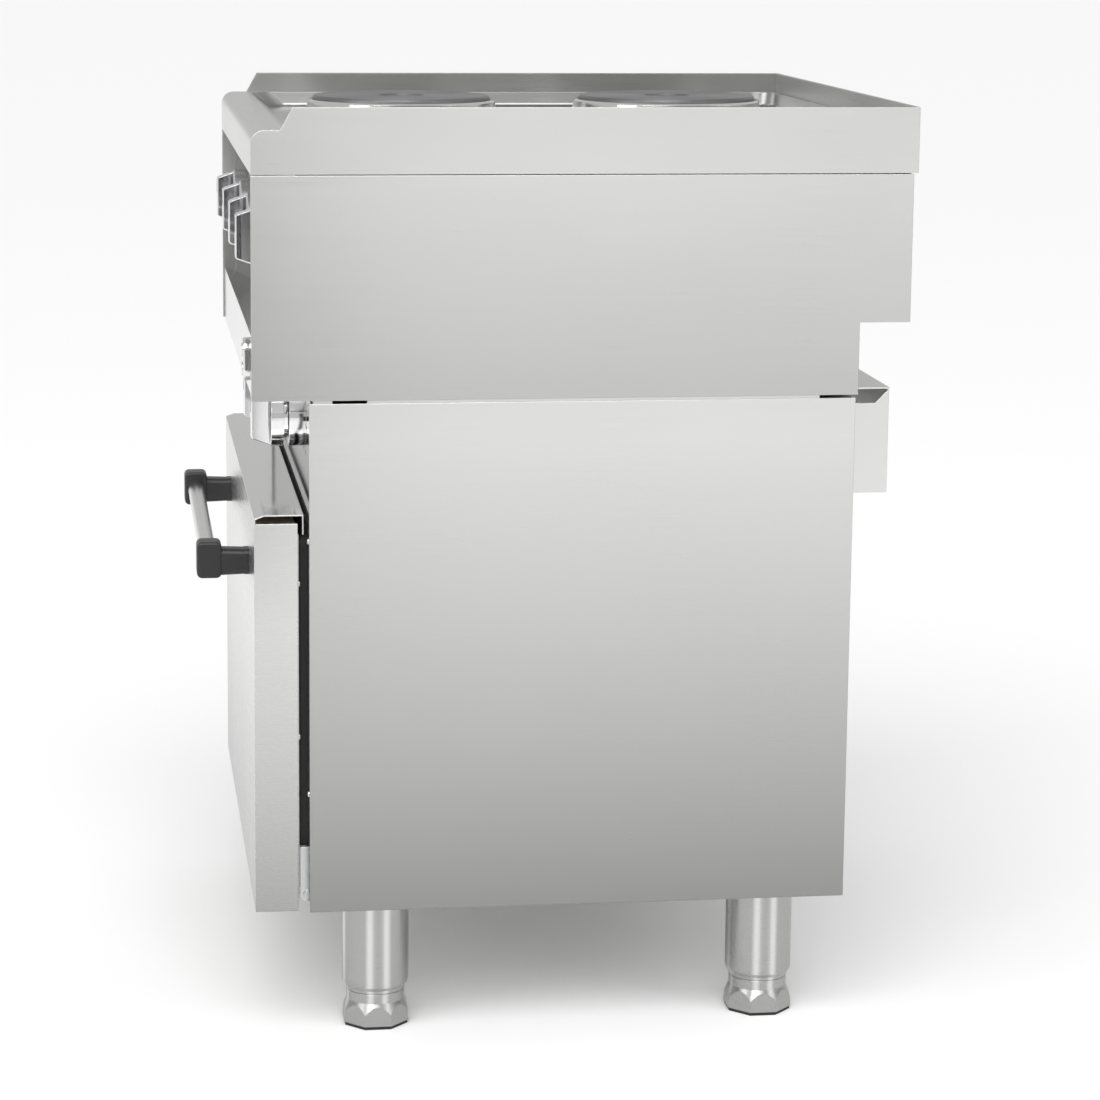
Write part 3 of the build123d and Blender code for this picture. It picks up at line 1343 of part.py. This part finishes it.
save("legs", *[leg(x, depth) for x, depth in LEG_PLACES.values()])
for name, (x, depth) in LEG_PLACES.items():
    save("foot_" + name, foot(x, depth))
    save("foot_pad_" + name, foot_pad(x, depth))
save("panel_screws", *panel_screws())
save("leg_bolts", *leg_bolts())
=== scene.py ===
import json
import math

import bmesh
import bpy
from mathutils import Matrix, Vector

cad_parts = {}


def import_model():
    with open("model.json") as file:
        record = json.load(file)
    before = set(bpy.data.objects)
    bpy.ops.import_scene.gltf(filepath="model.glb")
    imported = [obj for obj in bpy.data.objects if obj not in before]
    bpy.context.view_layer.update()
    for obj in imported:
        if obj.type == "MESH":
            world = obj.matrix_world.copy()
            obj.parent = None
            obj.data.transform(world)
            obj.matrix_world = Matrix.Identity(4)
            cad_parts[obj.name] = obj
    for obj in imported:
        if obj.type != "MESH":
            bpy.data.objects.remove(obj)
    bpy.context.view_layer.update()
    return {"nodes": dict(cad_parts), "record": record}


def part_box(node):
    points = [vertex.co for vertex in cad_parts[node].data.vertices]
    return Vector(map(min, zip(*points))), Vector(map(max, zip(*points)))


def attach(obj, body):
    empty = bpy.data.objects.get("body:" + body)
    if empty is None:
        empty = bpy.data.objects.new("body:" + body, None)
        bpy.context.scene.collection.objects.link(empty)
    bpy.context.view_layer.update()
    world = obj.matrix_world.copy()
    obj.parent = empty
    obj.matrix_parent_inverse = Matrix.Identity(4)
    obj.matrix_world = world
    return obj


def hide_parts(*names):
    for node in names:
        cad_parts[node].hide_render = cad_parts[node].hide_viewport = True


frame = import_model()
nodes = frame["nodes"]

# Every length is in metres, in the CAD frame: X right, Y back, Z up from the floor.

WORKTOP_FRONT = -0.277
FAR_EDGE_X = -0.20
DECK_START_Y = -0.24
DECK_FULL_Y = -0.18
NOTCH_HEIGHT = 0.066
PLATE_RADIUS = 0.090

BRUSH_ALONG = 7.0
BRUSH_ACROSS = 1100.0

SCREW_RADIUS = 0.004
SCREW_HEAD = 0.002
SCREW_STEPS = 24
SCREW_TURN = 0.7
HOB_SCREW_X = 0.280
HOB_SCREW_INSET = 0.020
CABINET_SCREW_INSET = 0.030
SMALL_SCREW_RADIUS = 0.0034
SMALL_SCREW_HEAD = 0.0016
DOOR_EDGE_WIDTH = 0.0012

PRINT = 0.00012
WORD_RADIUS = 0.0355
TICK_START = 0.0285
TICK_END = 0.0305
TICK_HALF_ANGLE = 1.1
LINE_HALF_WIDTH = 0.0006
LINE_START = 0.004
LINE_END = 0.018


# Shader helpers

class Shader:
    """Builds the node tree of one material."""

    def __init__(self, name):
        self.mat = bpy.data.materials.new(name)
        self.mat.use_nodes = True
        self.tree = self.mat.node_tree
        self.tree.nodes.clear()
        output = self.add("ShaderNodeOutputMaterial")
        self.bsdf = self.add("ShaderNodeBsdfPrincipled")
        self.tree.links.new(self.bsdf.outputs[0], output.inputs[0])
        coord = self.add("ShaderNodeTexCoord")
        self.place = coord.outputs["Object"]
        self.normal = coord.outputs["Normal"]

    def add(self, kind, inputs=(), **settings):
        node = self.tree.nodes.new(kind)
        for name, value in settings.items():
            setattr(node, name, value)
        for key, value in dict(inputs).items():
            self.put(node.inputs[key], value)
        return node

    def put(self, socket, value):
        if isinstance(value, bpy.types.NodeSocket):
            self.tree.links.new(value, socket)
        else:
            socket.default_value = value

    def set(self, **inputs):
        """Sets sockets of the surface shader; an underscore in a name stands for a space."""
        for name, value in inputs.items():
            self.put(self.bsdf.inputs[name.replace("_", " ")], value)

    def math(self, operation, a, b=0.0):
        return self.add("ShaderNodeMath", {0: a, 1: b}, operation=operation).outputs[0]

    def vector(self, operation, a, b=None):
        inputs = {0: a} if b is None else {0: a, 1: b}
        return self.add("ShaderNodeVectorMath", inputs, operation=operation).outputs[0]

    def scale(self, x, y, z, factors):
        """The three values times their own factors, as a vector."""
        return self.join(*[self.math("MULTIPLY", part, by) for part, by in zip((x, y, z), factors)])

    def split(self, vector):
        return self.add("ShaderNodeSeparateXYZ", {0: vector}).outputs

    def join(self, x, y, z):
        return self.add("ShaderNodeCombineXYZ", {0: x, 1: y, 2: z}).outputs[0]

    def stretch(self, value, low, high, start, end):
        inputs = {0: value, 1: low, 2: high, 3: start, 4: end}
        return self.add("ShaderNodeMapRange", inputs, clamp=True).outputs[0]

    def noise(self, vector, scale, detail=2.0, rough=0.5):
        inputs = {"Vector": vector, "Scale": scale, "Detail": detail, "Roughness": rough}
        return self.add("ShaderNodeTexNoise", inputs).outputs[0]

    def mix(self, factor, a, b):
        node = self.add("ShaderNodeMix", data_type="RGBA")
        self.put(node.inputs[0], factor)
        self.put(node.inputs[6], a)
        self.put(node.inputs[7], b)
        return node.outputs[2]

    def mix_vector(self, factor, a, b):
        node = self.add("ShaderNodeMix", data_type="VECTOR")
        self.put(node.inputs[0], factor)
        self.put(node.inputs[4], a)
        self.put(node.inputs[5], b)
        return node.outputs[1]

    def mix_value(self, factor, a, b):
        node = self.add("ShaderNodeMix", data_type="FLOAT")
        self.put(node.inputs[0], factor)
        self.put(node.inputs[2], a)
        self.put(node.inputs[3], b)
        return node.outputs[0]

    def dim(self, color, value):
        """The colour times a value."""
        grey = self.add("ShaderNodeCombineColor", {0: value, 1: value, 2: value}).outputs[0]
        node = self.add("ShaderNodeMix", data_type="RGBA", blend_type="MULTIPLY")
        self.put(node.inputs[0], 1.0)
        self.put(node.inputs[6], color)
        self.put(node.inputs[7], grey)
        return node.outputs[2]

    def bevel(self, radius):
        return self.add("ShaderNodeBevel", {0: radius}, samples=4).outputs[0]

    def bump(self, height, strength, distance, normal=None):
        inputs = {"Strength": strength, "Distance": distance, "Height": height}
        if normal is not None:
            inputs["Normal"] = normal
        return self.add("ShaderNodeBump", inputs).outputs[0]


def rgb(r, g=None, b=None):
    return (r, r if g is None else g, r if b is None else b, 1.0)


def steel(name, tone, rough, low=0.0, high=1.0, dim=1.0, grain=0.18, aniso=0.5, edge=0.0012,
          mirror_top=None, reflection_bands=0.0, worktop=False):
    """Brushed sheet: the brush runs along Y on faces that look sideways and along X elsewhere.

    The tone falls from its full value at the height high to dim times that at low; this fall is painted
    shade.
    """
    s = Shader(name)
    x, y, z = s.split(s.place)
    sideways = s.math("GREATER_THAN", s.math("ABSOLUTE", s.split(s.normal)[0]), 0.6)
    along_y = s.scale(x, y, z, (BRUSH_ACROSS, BRUSH_ALONG, BRUSH_ACROSS))
    along_x = s.scale(x, y, z, (BRUSH_ALONG, BRUSH_ACROSS, BRUSH_ACROSS))
    lines = s.noise(s.mix_vector(sideways, along_x, along_y), 1.0, 3.0, 0.6)
    cloud = s.noise(s.place, 3.2, 3.0, 0.55)
    # Painted shade: the tone darkens from the height high down to low, to dim times its full value.
    shade = s.stretch(z, low, high, dim, 1.0)
    shade = s.math("MULTIPLY", shade,
                   s.stretch(lines, 0.25, 0.75, 1.0 - 0.05 * grain, 1.0 + 0.03 * grain))
    shade = s.math("MULTIPLY", shade, s.stretch(cloud, 0.3, 0.7, 0.985, 1.01))
    brush = s.mix_vector(sideways, (1.0, 0.0, 0.0), (0.0, 1.0, 0.0))
    across = s.vector("NORMALIZE", s.vector("CROSS_PRODUCT", s.normal, brush))
    tangent = s.add("ShaderNodeVectorTransform", {0: across}, vector_type="VECTOR",
                    convert_from="OBJECT", convert_to="WORLD").outputs[0]
    roughness = s.math("ADD", s.stretch(lines, 0.2, 0.8, rough - 0.04, rough + 0.05),
                       s.stretch(cloud, 0.3, 0.7, -0.015, 0.02))
    if mirror_top is not None:
        upward = s.stretch(s.split(s.normal)[2], 0.35, 0.6, 0.0, 1.0)
        roughness = s.mix_value(upward, roughness, mirror_top)
    # Painted reflection: upright light bands round the legs, darker between them.
    if reflection_bands:
        shade = s.math("MULTIPLY", shade, painted_reflection_bands(s, reflection_bands))
    # Painted shade on the worktop: a darker deck and a darker inner face of the left edge.
    if worktop:
        shade = s.math("MULTIPLY", shade, worktop_painted_shade(s, x, y))
    normal = s.bump(lines, 0.05 * grain, 0.0004, s.bevel(edge))
    s.set(Base_Color=s.dim(rgb(*tone), shade), Metallic=1.0, Roughness=roughness,
          Anisotropic=aniso, Tangent=tangent, Normal=normal)
    return s.mat


def worktop_painted_shade(s, x, y):
    """A factor of painted shade that darkens the deck and the inner face of the left edge."""
    side, _, up = s.split(s.normal)
    far = s.math("MULTIPLY", s.math("LESS_THAN", x, FAR_EDGE_X), s.stretch(side, 0.3, 0.7, 0.0, 1.0))
    deck = s.math("MULTIPLY", s.stretch(y, DECK_START_Y, DECK_FULL_Y, 0.0, 1.0),
                  s.stretch(up, 0.4, 0.8, 0.0, 1.0))
    return s.math("MULTIPLY", s.stretch(far, 0.0, 1.0, 1.0, 0.50), s.stretch(deck, 0.0, 1.0, 1.0, 0.52))


def painted_reflection_bands(s, depth):
    """A factor of painted reflection round a leg: upright light bands, with painted shade between them."""
    x, y, z = s.split(s.normal)
    turn = s.math("MINIMUM", s.math("ABSOLUTE", x), s.math("ABSOLUTE", y))
    from_reflection_band = s.math("ABSOLUTE", s.math("SUBTRACT", turn, 0.25))
    reflection_band = s.add("ShaderNodeMapRange", {0: from_reflection_band, 1: 0.02, 2: 0.17, 3: 1.0, 4: 1.0 - depth},
                 interpolation_type="SMOOTHSTEP").outputs[0]
    flat = s.stretch(s.math("ABSOLUTE", z), 0.3, 0.8, 0.0, 1.0)
    return s.mix_value(flat, reflection_band, 1.0 - depth)


def bright(name, tone, rough, edge=0.0008, smear=0.02):
    """Polished or plated metal with faint wipe marks."""
    s = Shader(name)
    cloud = s.noise(s.place, 22.0, 4.0, 0.6)
    fine = s.noise(s.place, 900.0, 2.0, 0.5)
    shade = s.stretch(cloud, 0.3, 0.7, 0.97, 1.0)
    roughness = s.math("ADD", rough, s.stretch(cloud, 0.35, 0.7, 0.0, smear))
    normal = s.bump(fine, 0.015, 0.0002, s.bevel(edge))
    s.set(Base_Color=s.dim(rgb(*tone), shade), Metallic=1.0, Roughness=roughness, Normal=normal)
    return s.mat


def zinc(name, tone, rough):
    """Plated steel with a faint crystal pattern."""
    s = Shader(name)
    cells = s.add("ShaderNodeTexVoronoi", {"Vector": s.place, "Scale": 160.0}).outputs["Color"]
    patch = s.add("ShaderNodeSeparateColor", {0: cells}).outputs[0]
    shade = s.stretch(patch, 0.0, 1.0, 0.88, 1.04)
    s.set(Base_Color=s.dim(rgb(*tone), shade), Metallic=1.0,
          Roughness=s.stretch(patch, 0.0, 1.0, rough - 0.05, rough + 0.08), Normal=s.bevel(0.0008))
    return s.mat


def moulded(name, tone, rough, grain=420.0, edge=0.0008, strength=0.12):
    """Moulded plastic, rubber or paint with a fine surface grain."""
    s = Shader(name)
    fine = s.noise(s.place, grain, 3.0, 0.6)
    cloud = s.noise(s.place, 14.0, 3.0, 0.5)
    shade = s.math("MULTIPLY", s.stretch(fine, 0.3, 0.7, 0.92, 1.08),
                   s.stretch(cloud, 0.3, 0.7, 0.95, 1.05))
    roughness = s.math("ADD", rough, s.stretch(cloud, 0.3, 0.7, -0.04, 0.05))
    s.set(Base_Color=s.dim(rgb(*tone), shade), Roughness=roughness,
          Normal=s.bump(fine, strength, 0.0003, s.bevel(edge)))
    return s.mat


def iron(name, centre, pitch):
    """Cast iron turned on a lathe: fine rings round each plate's own middle."""
    s = Shader(name)
    x, y, z = s.split(s.place)
    from_x = s.math("SUBTRACT", x, centre[0])
    from_y = s.math("SUBTRACT", y, centre[1])
    u = s.math("SUBTRACT", s.math("ABSOLUTE", from_x), pitch[0] / 2.0)
    v = s.math("SUBTRACT", s.math("ABSOLUTE", from_y), pitch[1] / 2.0)
    radius = s.math("SQRT", s.math("ADD", s.math("MULTIPLY", u, u), s.math("MULTIPLY", v, v)))
    rings = s.noise(s.join(s.math("MULTIPLY", radius, 2400.0), 0.0, 0.0), 1.0, 3.0, 0.6)
    groove = s.math("SINE", s.math("MULTIPLY", radius, 2.0 * math.pi / 0.0011))
    pits = s.noise(s.place, 700.0, 3.0, 0.6)
    heat = s.noise(s.place, 16.0, 3.0, 0.5)
    shade = s.math("MULTIPLY", s.stretch(rings, 0.25, 0.75, 0.75, 1.2),
                   s.stretch(heat, 0.3, 0.7, 0.85, 1.12))
    outward = s.join(s.math("MULTIPLY", u, s.math("SIGN", from_x)),
                     s.math("MULTIPLY", v, s.math("SIGN", from_y)), 0.0)
    rough = s.math("ADD", rings, s.math("MULTIPLY", pits, 0.5))
    height = s.math("ADD", s.math("MULTIPLY", groove, 0.35), rough)
    s.set(Base_Color=s.dim(rgb(0.20, 0.20, 0.205), shade), Metallic=0.8,
          Roughness=s.stretch(pits, 0.2, 0.8, 0.38, 0.52), Anisotropic=0.6,
          Tangent=s.vector("NORMALIZE", outward), Normal=s.bump(height, 0.25, 0.0003, s.bevel(0.001)))
    return s.mat


def wool(name):
    """Yellowish mineral wool."""
    s = Shader(name)
    fibres = s.noise(s.place, 90.0, 6.0, 0.75)
    clumps = s.noise(s.place, 18.0, 3.0, 0.5)
    color = s.mix(s.stretch(fibres, 0.3, 0.7, 0.0, 1.0), rgb(0.50, 0.44, 0.28), rgb(0.80, 0.74, 0.55))
    height = s.math("ADD", fibres, s.math("MULTIPLY", clumps, 0.6))
    s.set(Base_Color=color, Roughness=0.95, Sheen_Weight=0.3, Normal=s.bump(height, 0.8, 0.004))
    return s.mat


def element(name):
    """Sheathed heating rod, blued and browned by heat."""
    s = Shader(name)
    heat = s.noise(s.place, 28.0, 4.0, 0.6)
    fine = s.noise(s.place, 600.0, 2.0, 0.5)
    color = s.mix(s.stretch(heat, 0.35, 0.65, 0.0, 1.0), rgb(0.17, 0.15, 0.14), rgb(0.30, 0.24, 0.20))
    s.set(Base_Color=color, Metallic=0.9, Roughness=s.stretch(heat, 0.3, 0.7, 0.38, 0.55),
          Normal=s.bump(fine, 0.1, 0.0003))
    return s.mat


def dress(mat, *names):
    """Gives CAD nodes a material without touching their meshes."""
    for name in names:
        for slot in nodes[name].material_slots:
            slot.link = "OBJECT"
            slot.material = mat


def span(*names):
    """The low and the high corner of the box round some CAD nodes."""
    lows, highs = zip(*(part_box(name) for name in names))
    low = Vector(min(p[i] for p in lows) for i in range(3))
    high = Vector(max(p[i] for p in highs) for i in range(3))
    return low, high


# Materials on the CAD nodes

STEEL = (0.70, 0.70, 0.69)
all_names = set(nodes)
cabinet_low, cabinet_high = span("cabinet_side_right")
hob_low, hob_high = span("hob_side_right")
door_low, door_high = span("door_skin")

dress(steel("sheet steel", STEEL, 0.30), "hob_base_pan", "cabinet_base", "cabinet_top", "cavity_liner",
      "fan_baffle", "door_liner", "front_frame")
dress(steel("worktop steel", STEEL, 0.30, worktop=True), "worktop", "worktop_surround")
# Painted shade: the hob sides, cabinet sides and door skin each darken towards their own bottom.
dress(steel("hob side steel", STEEL, 0.30, hob_low.z, hob_high.z, 0.75), "hob_side_left", "hob_side_right",
      "hob_rear_panel")
dress(steel("cabinet side steel", STEEL, 0.30, cabinet_low.z, cabinet_high.z - 0.035, 0.40),
      "cabinet_side_left", "cabinet_side_right", "cabinet_back")
dress(steel("hood steel", STEEL, 0.30), "rear_vent_hood")
dress(steel("door steel", STEEL, 0.26, door_low.z, door_high.z - 0.10, 0.52, mirror_top=0.07), "door_skin")
dress(steel("panel steel", (0.56, 0.56, 0.555), 0.11, aniso=0.3), "control_panel", "lower_fascia",
      "oven_fascia")
CORNERS = [a + "_" + b for a in ("front", "rear") for b in ("left", "right")]
# The legs get painted reflection bands.
dress(steel("leg steel", (0.66, 0.66, 0.65), 0.28, aniso=0.3, reflection_bands=0.42), "legs",
      *["foot_" + corner for corner in CORNERS])
dress(steel("tube steel", STEEL, 0.22, aniso=0.3), "handle_tube")
dress(bright("polished steel", (0.76, 0.76, 0.75), 0.10), "hotplate_rims", "indicator_lamps", "leg_bolts",
      "panel_screws", "shelf_runners", "wire_shelf_lower", "wire_shelf_upper")
knobs = [n for n in all_names if n.startswith(("hob_knob", "oven_knob"))]
dress(bright("chrome plate", (0.80, 0.80, 0.81), 0.06), "knob_bezels", *knobs)
dress(zinc("zinc plate", (0.62, 0.63, 0.63), 0.34), "hotplate_clamps", "hinge_receivers", "hinge_arms",
      "vent_pipe", "fan_wheel")
dress(moulded("black plastic", (0.013, 0.013, 0.014), 0.38), "handle_brackets", "control_switches")
dress(moulded("grey plastic", (0.35, 0.35, 0.36), 0.45), "terminal_block", "cable_gland")
dress(moulded("seal rubber", (0.009, 0.009, 0.009), 0.6), "door_seal",
      *["foot_pad_" + corner for corner in CORNERS])
dress(wool("mineral wool"), "cavity_insulation", "door_insulation")
dress(element("element sheath"), "ring_element", "thermostat_bulb")
dress(moulded("motor paint", (0.12, 0.12, 0.13), 0.35), "fan_motor")

plate_low, plate_high = span("hotplates")
plate_centre = (plate_low + plate_high) / 2.0
plate_pitch = [plate_high[i] - plate_low[i] - 2 * PLATE_RADIUS for i in range(2)]
dress(iron("cast iron", plate_centre, plate_pitch), "hotplates")


# Mesh helpers

def finish_mesh(name, bm, mat, body, smooth_angle=35.0):
    """Turns a bmesh into a piece that rides on a body."""
    bmesh.ops.recalc_face_normals(bm, faces=bm.faces)
    for face in bm.faces:
        face.smooth = True
    for edge in bm.edges:
        if len(edge.link_faces) == 2 and edge.calc_face_angle(0.0) > math.radians(smooth_angle):
            edge.smooth = False
    mesh = bpy.data.meshes.new(name)
    bm.to_mesh(mesh)
    bm.free()
    mesh.materials.append(mat)
    obj = bpy.data.objects.new(name, mesh)
    bpy.context.scene.collection.objects.link(obj)
    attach(obj, body)
    return obj


def turned_to(point, normal, spin=0.0):
    """A matrix that puts Z along the normal at a point."""
    rotation = Vector(normal).to_track_quat("Z", "Y").to_matrix().to_4x4()
    return Matrix.Translation(point) @ rotation @ Matrix.Rotation(spin, 4, "Z")


# Screws with a cross recess

def cross_outline(arm, half):
    """The twelve corners of a cross, counted round from the first arm."""
    quarter = [(arm, -half), (arm, half), (half, half)]
    points = []
    for turn in range(4):
        cosine, sine = ((1, 0), (0, 1), (-1, 0), (0, -1))[turn]
        points += [(x * cosine - y * sine, x * sine + y * cosine) for x, y in quarter]
    return points


def screw_head(bm, point, normal, radius, height, spin):
    """A domed head whose top face holds a sunk cross."""
    place = turned_to(point, normal, spin)
    arm, half, deep = radius * 0.62, radius * 0.15, height * 0.55
    profile = ((radius, 0.0), (radius, height * 0.35), (radius * 0.88, height * 0.75),
               (radius * 0.68, height))
    rim = []
    for r, h in profile:
        rim.append([bm.verts.new(place @ Vector((r * math.cos(2 * math.pi * i / SCREW_STEPS),
                                                 r * math.sin(2 * math.pi * i / SCREW_STEPS), h)))
                    for i in range(SCREW_STEPS)])
    for lower, upper in zip(rim, rim[1:]):
        for i in range(SCREW_STEPS):
            j = (i + 1) % SCREW_STEPS
            bm.faces.new((lower[i], lower[j], upper[j], upper[i]))
    bm.faces.new(list(reversed(rim[0])))
    cross_top = [bm.verts.new(place @ Vector((x, y, height))) for x, y in cross_outline(arm, half)]
    cross_low = [bm.verts.new(place @ Vector((x * 0.75, y * 0.75, height - deep)))
                 for x, y in cross_outline(arm, half)]
    for i in range(12):
        j = (i + 1) % 12
        bm.faces.new((cross_top[i], cross_low[i], cross_low[j], cross_top[j]))
    bm.faces.new(cross_low)
    ring_edges = []
    for loop in (rim[-1], cross_top):
        for i, vert in enumerate(loop):
            other = loop[(i + 1) % len(loop)]
            ring_edges.append(bm.edges.get((vert, other)) or bm.edges.new((vert, other)))
    bmesh.ops.triangle_fill(bm, edges=ring_edges, use_beauty=True)


screw_steel = bright("screw steel", (0.72, 0.72, 0.71), 0.16)
screws = bmesh.new()
turn = 0
hob_back = span("hob_rear_panel")[1].y
cabinet_rear = span("cabinet_back")[1].y
cabinet_screw_x = span("panel_screws")[1].x - SCREW_RADIUS
notch_z = hob_low.z + NOTCH_HEIGHT
seam_z = span("worktop_surround")[0].z
hob_heights = (notch_z + HOB_SCREW_INSET, (notch_z + seam_z) / 2.0, seam_z - HOB_SCREW_INSET)
cabinet_heights = (cabinet_low.z + CABINET_SCREW_INSET, (cabinet_low.z + cabinet_high.z) / 2.0,
                   cabinet_high.z - CABINET_SCREW_INSET)
for side in (-1, 1):
    for x, y, heights in ((HOB_SCREW_X, hob_back, hob_heights),
                          (cabinet_screw_x, cabinet_rear, cabinet_heights)):
        for z in heights:
            screw_head(screws, Vector((side * x, y, z)), (0, 1, 0), SCREW_RADIUS, SCREW_HEAD,
                       turn * SCREW_TURN)
            turn += 1


# Small screws on the door's rear edge and beside the oven mouth

door_back = span("door_liner")[0].y + DOOR_EDGE_WIDTH
frame_front = span("front_frame")[0].y
door_edge = bmesh.new()
for side in (-1, 1):
    for z in (0.288, 0.430):
        screw_head(door_edge, Vector((side * 0.2825, door_back, z)), (0, 1, 0), SMALL_SCREW_RADIUS,
                   SMALL_SCREW_HEAD, z * 9.0)
finish_mesh("door_edge_screws", door_edge, screw_steel, "door")
for side in (-1, 1):
    for z in (0.236, 0.470):
        screw_head(screws, Vector((side * 0.2895, frame_front, z)), (0, -1, 0), SMALL_SCREW_RADIUS,
                   SMALL_SCREW_HEAD, z * 7.0)


# Printed dials and the lines on the levers

print_black = moulded("dial print", (0.015, 0.015, 0.016), 0.5, strength=0.02)
joints = {joint["name"]: joint for joint in frame["record"]["behaviour"]["joints"]}


def add_plate(bm, corners, y):
    """A thin plate with the given (x, z) corners, its back on the plane at y."""
    rings = [[bm.verts.new((x, at, z)) for x, z in corners] for at in (y, y - PRINT)]
    count = len(corners)
    for i in range(count):
        j = (i + 1) % count
        bm.faces.new((rings[0][i], rings[0][j], rings[1][j], rings[1][i]))
    bm.faces.new(rings[0])
    bm.faces.new(rings[1])


def add_text(bm, text, size, x, y, z):
    """Lettering that stands on a plane facing the front."""
    curve = bpy.data.curves.new("lettering", "FONT")
    curve.body = text
    curve.size = size
    curve.align_x = "CENTER"
    curve.align_y = "CENTER"
    curve.extrude = PRINT / 2.0
    curve.resolution_u = 3
    obj = bpy.data.objects.new("lettering", curve)
    bpy.context.scene.collection.objects.link(obj)
    obj.matrix_world = Matrix.Translation((x, y - PRINT / 2.0, z)) @ Matrix.Rotation(math.pi / 2, 4, "X")
    bpy.context.view_layer.update()
    mesh = bpy.data.meshes.new_from_object(obj.evaluated_get(bpy.context.evaluated_depsgraph_get()))
    mesh.transform(obj.matrix_world)
    bm.from_mesh(mesh)
    bpy.data.meshes.remove(mesh)
    bpy.data.objects.remove(obj)
    bpy.data.curves.remove(curve)


def around(centre, radius, degrees):
    """The (x, z) place at a clockwise angle from the top, seen from the front."""
    angle = math.radians(degrees)
    return centre[0] + radius * math.sin(angle), centre[2] + radius * math.cos(angle)


def dial(bm, joint, words, size, start, step):
    """Words round a knob, a step of degrees apart, with a tick at each word and halfway."""
    centre = joints[joint]["pos_m"]
    front = centre[1]
    for i, word in enumerate(words):
        x, z = around(centre, WORD_RADIUS, start + i * step)
        add_text(bm, word, size, x, front, z)
    for i in range(2 * len(words) - 1):
        degrees = start + i * step / 2.0
        corners = []
        for radius, turn in ((TICK_START, -1), (TICK_START, 1), (TICK_END, 1), (TICK_END, -1)):
            corners.append(around(centre, radius, degrees + turn * TICK_HALF_ANGLE))
        add_plate(bm, corners, front)


dials = bmesh.new()
for i in range(1, 5):
    dial(dials, "hob_control_%d_turn" % i, "0123456", 0.0065, 0.0, 50.0)
dial(dials, "oven_control_1_turn", ("50", "100", "150", "200", "250", "300"), 0.0052, 50.0, 44.0)
dial(dials, "oven_control_2_turn", "123456", 0.0060, 50.0, 52.0)
finish_mesh("dial_print", dials, print_black, "range_body")

for knob in sorted(knobs):
    low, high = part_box(knob)
    middle = (low.x + high.x) / 2.0
    control = knob.replace("knob", "control")
    centre_z = joints[control + "_turn"]["pos_m"][2]
    left, right = middle - LINE_HALF_WIDTH, middle + LINE_HALF_WIDTH
    bottom, top = centre_z + LINE_START, centre_z + LINE_END
    line = bmesh.new()
    add_plate(line, [(left, bottom), (right, bottom), (right, top), (left, top)], low.y)
    finish_mesh(knob + "_line", line, print_black, control)

finish_mesh("panel_screw_heads", screws, screw_steel, "range_body")
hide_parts("panel_screws")


# Stage

def card(name, corners, mat):
    """A flat face of the stage."""
    bm = bmesh.new()
    bm.faces.new([bm.verts.new(corner) for corner in corners])
    mesh = bpy.data.meshes.new(name)
    bm.to_mesh(mesh)
    bm.free()
    mesh.materials.append(mat)
    obj = bpy.data.objects.new(name, mesh)
    bpy.context.scene.collection.objects.link(obj)
    return obj


def floor(half):
    s = Shader("studio floor")
    s.set(Base_Color=rgb(0.90), Roughness=0.85)
    card("floor", [(-half, -half, 0.0), (half, -half, 0.0), (half, half, 0.0), (-half, half, 0.0)], s.mat)


def light(name, kind, place, aim, energy, **settings):
    data = bpy.data.lights.new(name, kind)
    data.energy = energy
    for key, value in settings.items():
        setattr(data, key, value)
    obj = bpy.data.objects.new(name, data)
    bpy.context.scene.collection.objects.link(obj)
    obj.location = place
    direction = Vector(aim) - Vector(place)
    obj.rotation_euler = direction.to_track_quat("-Z", "Y").to_euler()


def flag(name, place, width, height):
    """A dark card that only reflections see; it gives plated parts their dark faces."""
    s = Shader(name)
    s.set(Base_Color=rgb(0.012), Roughness=1.0, Specular_IOR_Level=0.0)
    y, z = width / 2, height / 2
    obj = card(name, [(0.0, -y, -z), (0.0, y, -z), (0.0, y, z), (0.0, -y, z)], s.mat)
    obj.location = place
    obj.visible_camera = False
    obj.visible_diffuse = False
    obj.visible_shadow = False
    obj.visible_transmission = False


def world(value, strength):
    data = bpy.data.worlds.new("studio")
    data.use_nodes = True
    background = data.node_tree.nodes["Background"]
    background.inputs[0].default_value = rgb(value)
    background.inputs[1].default_value = strength
    bpy.context.scene.world = data


def camera():
    """The photo's own viewpoint, found by fitting known corners."""
    place = (3.06529, WORKTOP_FRONT - 0.13738, 1.02795)
    yaw, pitch, roll = (math.radians(a) for a in (7.406, -9.309, 0.446))
    forward = Vector((-math.cos(yaw) * math.cos(pitch), math.sin(yaw) * math.cos(pitch), math.sin(pitch)))
    right = forward.cross(Vector((0, 0, 1))).normalized()
    up = right.cross(forward)
    across = math.cos(roll) * right + math.sin(roll) * up
    upward = -math.sin(roll) * right + math.cos(roll) * up
    matrix = Matrix((across, upward, -forward)).transposed().to_4x4()
    matrix.translation = place
    data = bpy.data.cameras.new("camera")
    data.lens = 103.247
    data.sensor_width = 36.0
    data.sensor_fit = "HORIZONTAL"
    data.shift_x = 0.04545
    data.shift_y = -0.10909
    data.clip_end = 400.0
    obj = bpy.data.objects.new("camera", data)
    bpy.context.scene.collection.objects.link(obj)
    obj.matrix_world = matrix
    bpy.context.scene.camera = obj


floor(150.0)
world(0.95, 0.63)
light("sun", "SUN", (5.0, -1.2, 5.5), (0, 0, 0.4), 2.1, angle=math.radians(50))
light("key", "AREA", (2.0, -3.4, 2.4), (0, 0, 0.5), 45.0, shape="RECTANGLE", size=2.0, size_y=2.4)
light("fill", "AREA", (2.6, 3.2, 2.6), (0, 0, 0.4), 30.0, shape="RECTANGLE", size=2.2, size_y=2.0)
flag("flag", (2.3, -0.51, 0.40), 0.68, 0.66)
camera()
bpy.context.scene.view_settings.view_transform = "Standard"
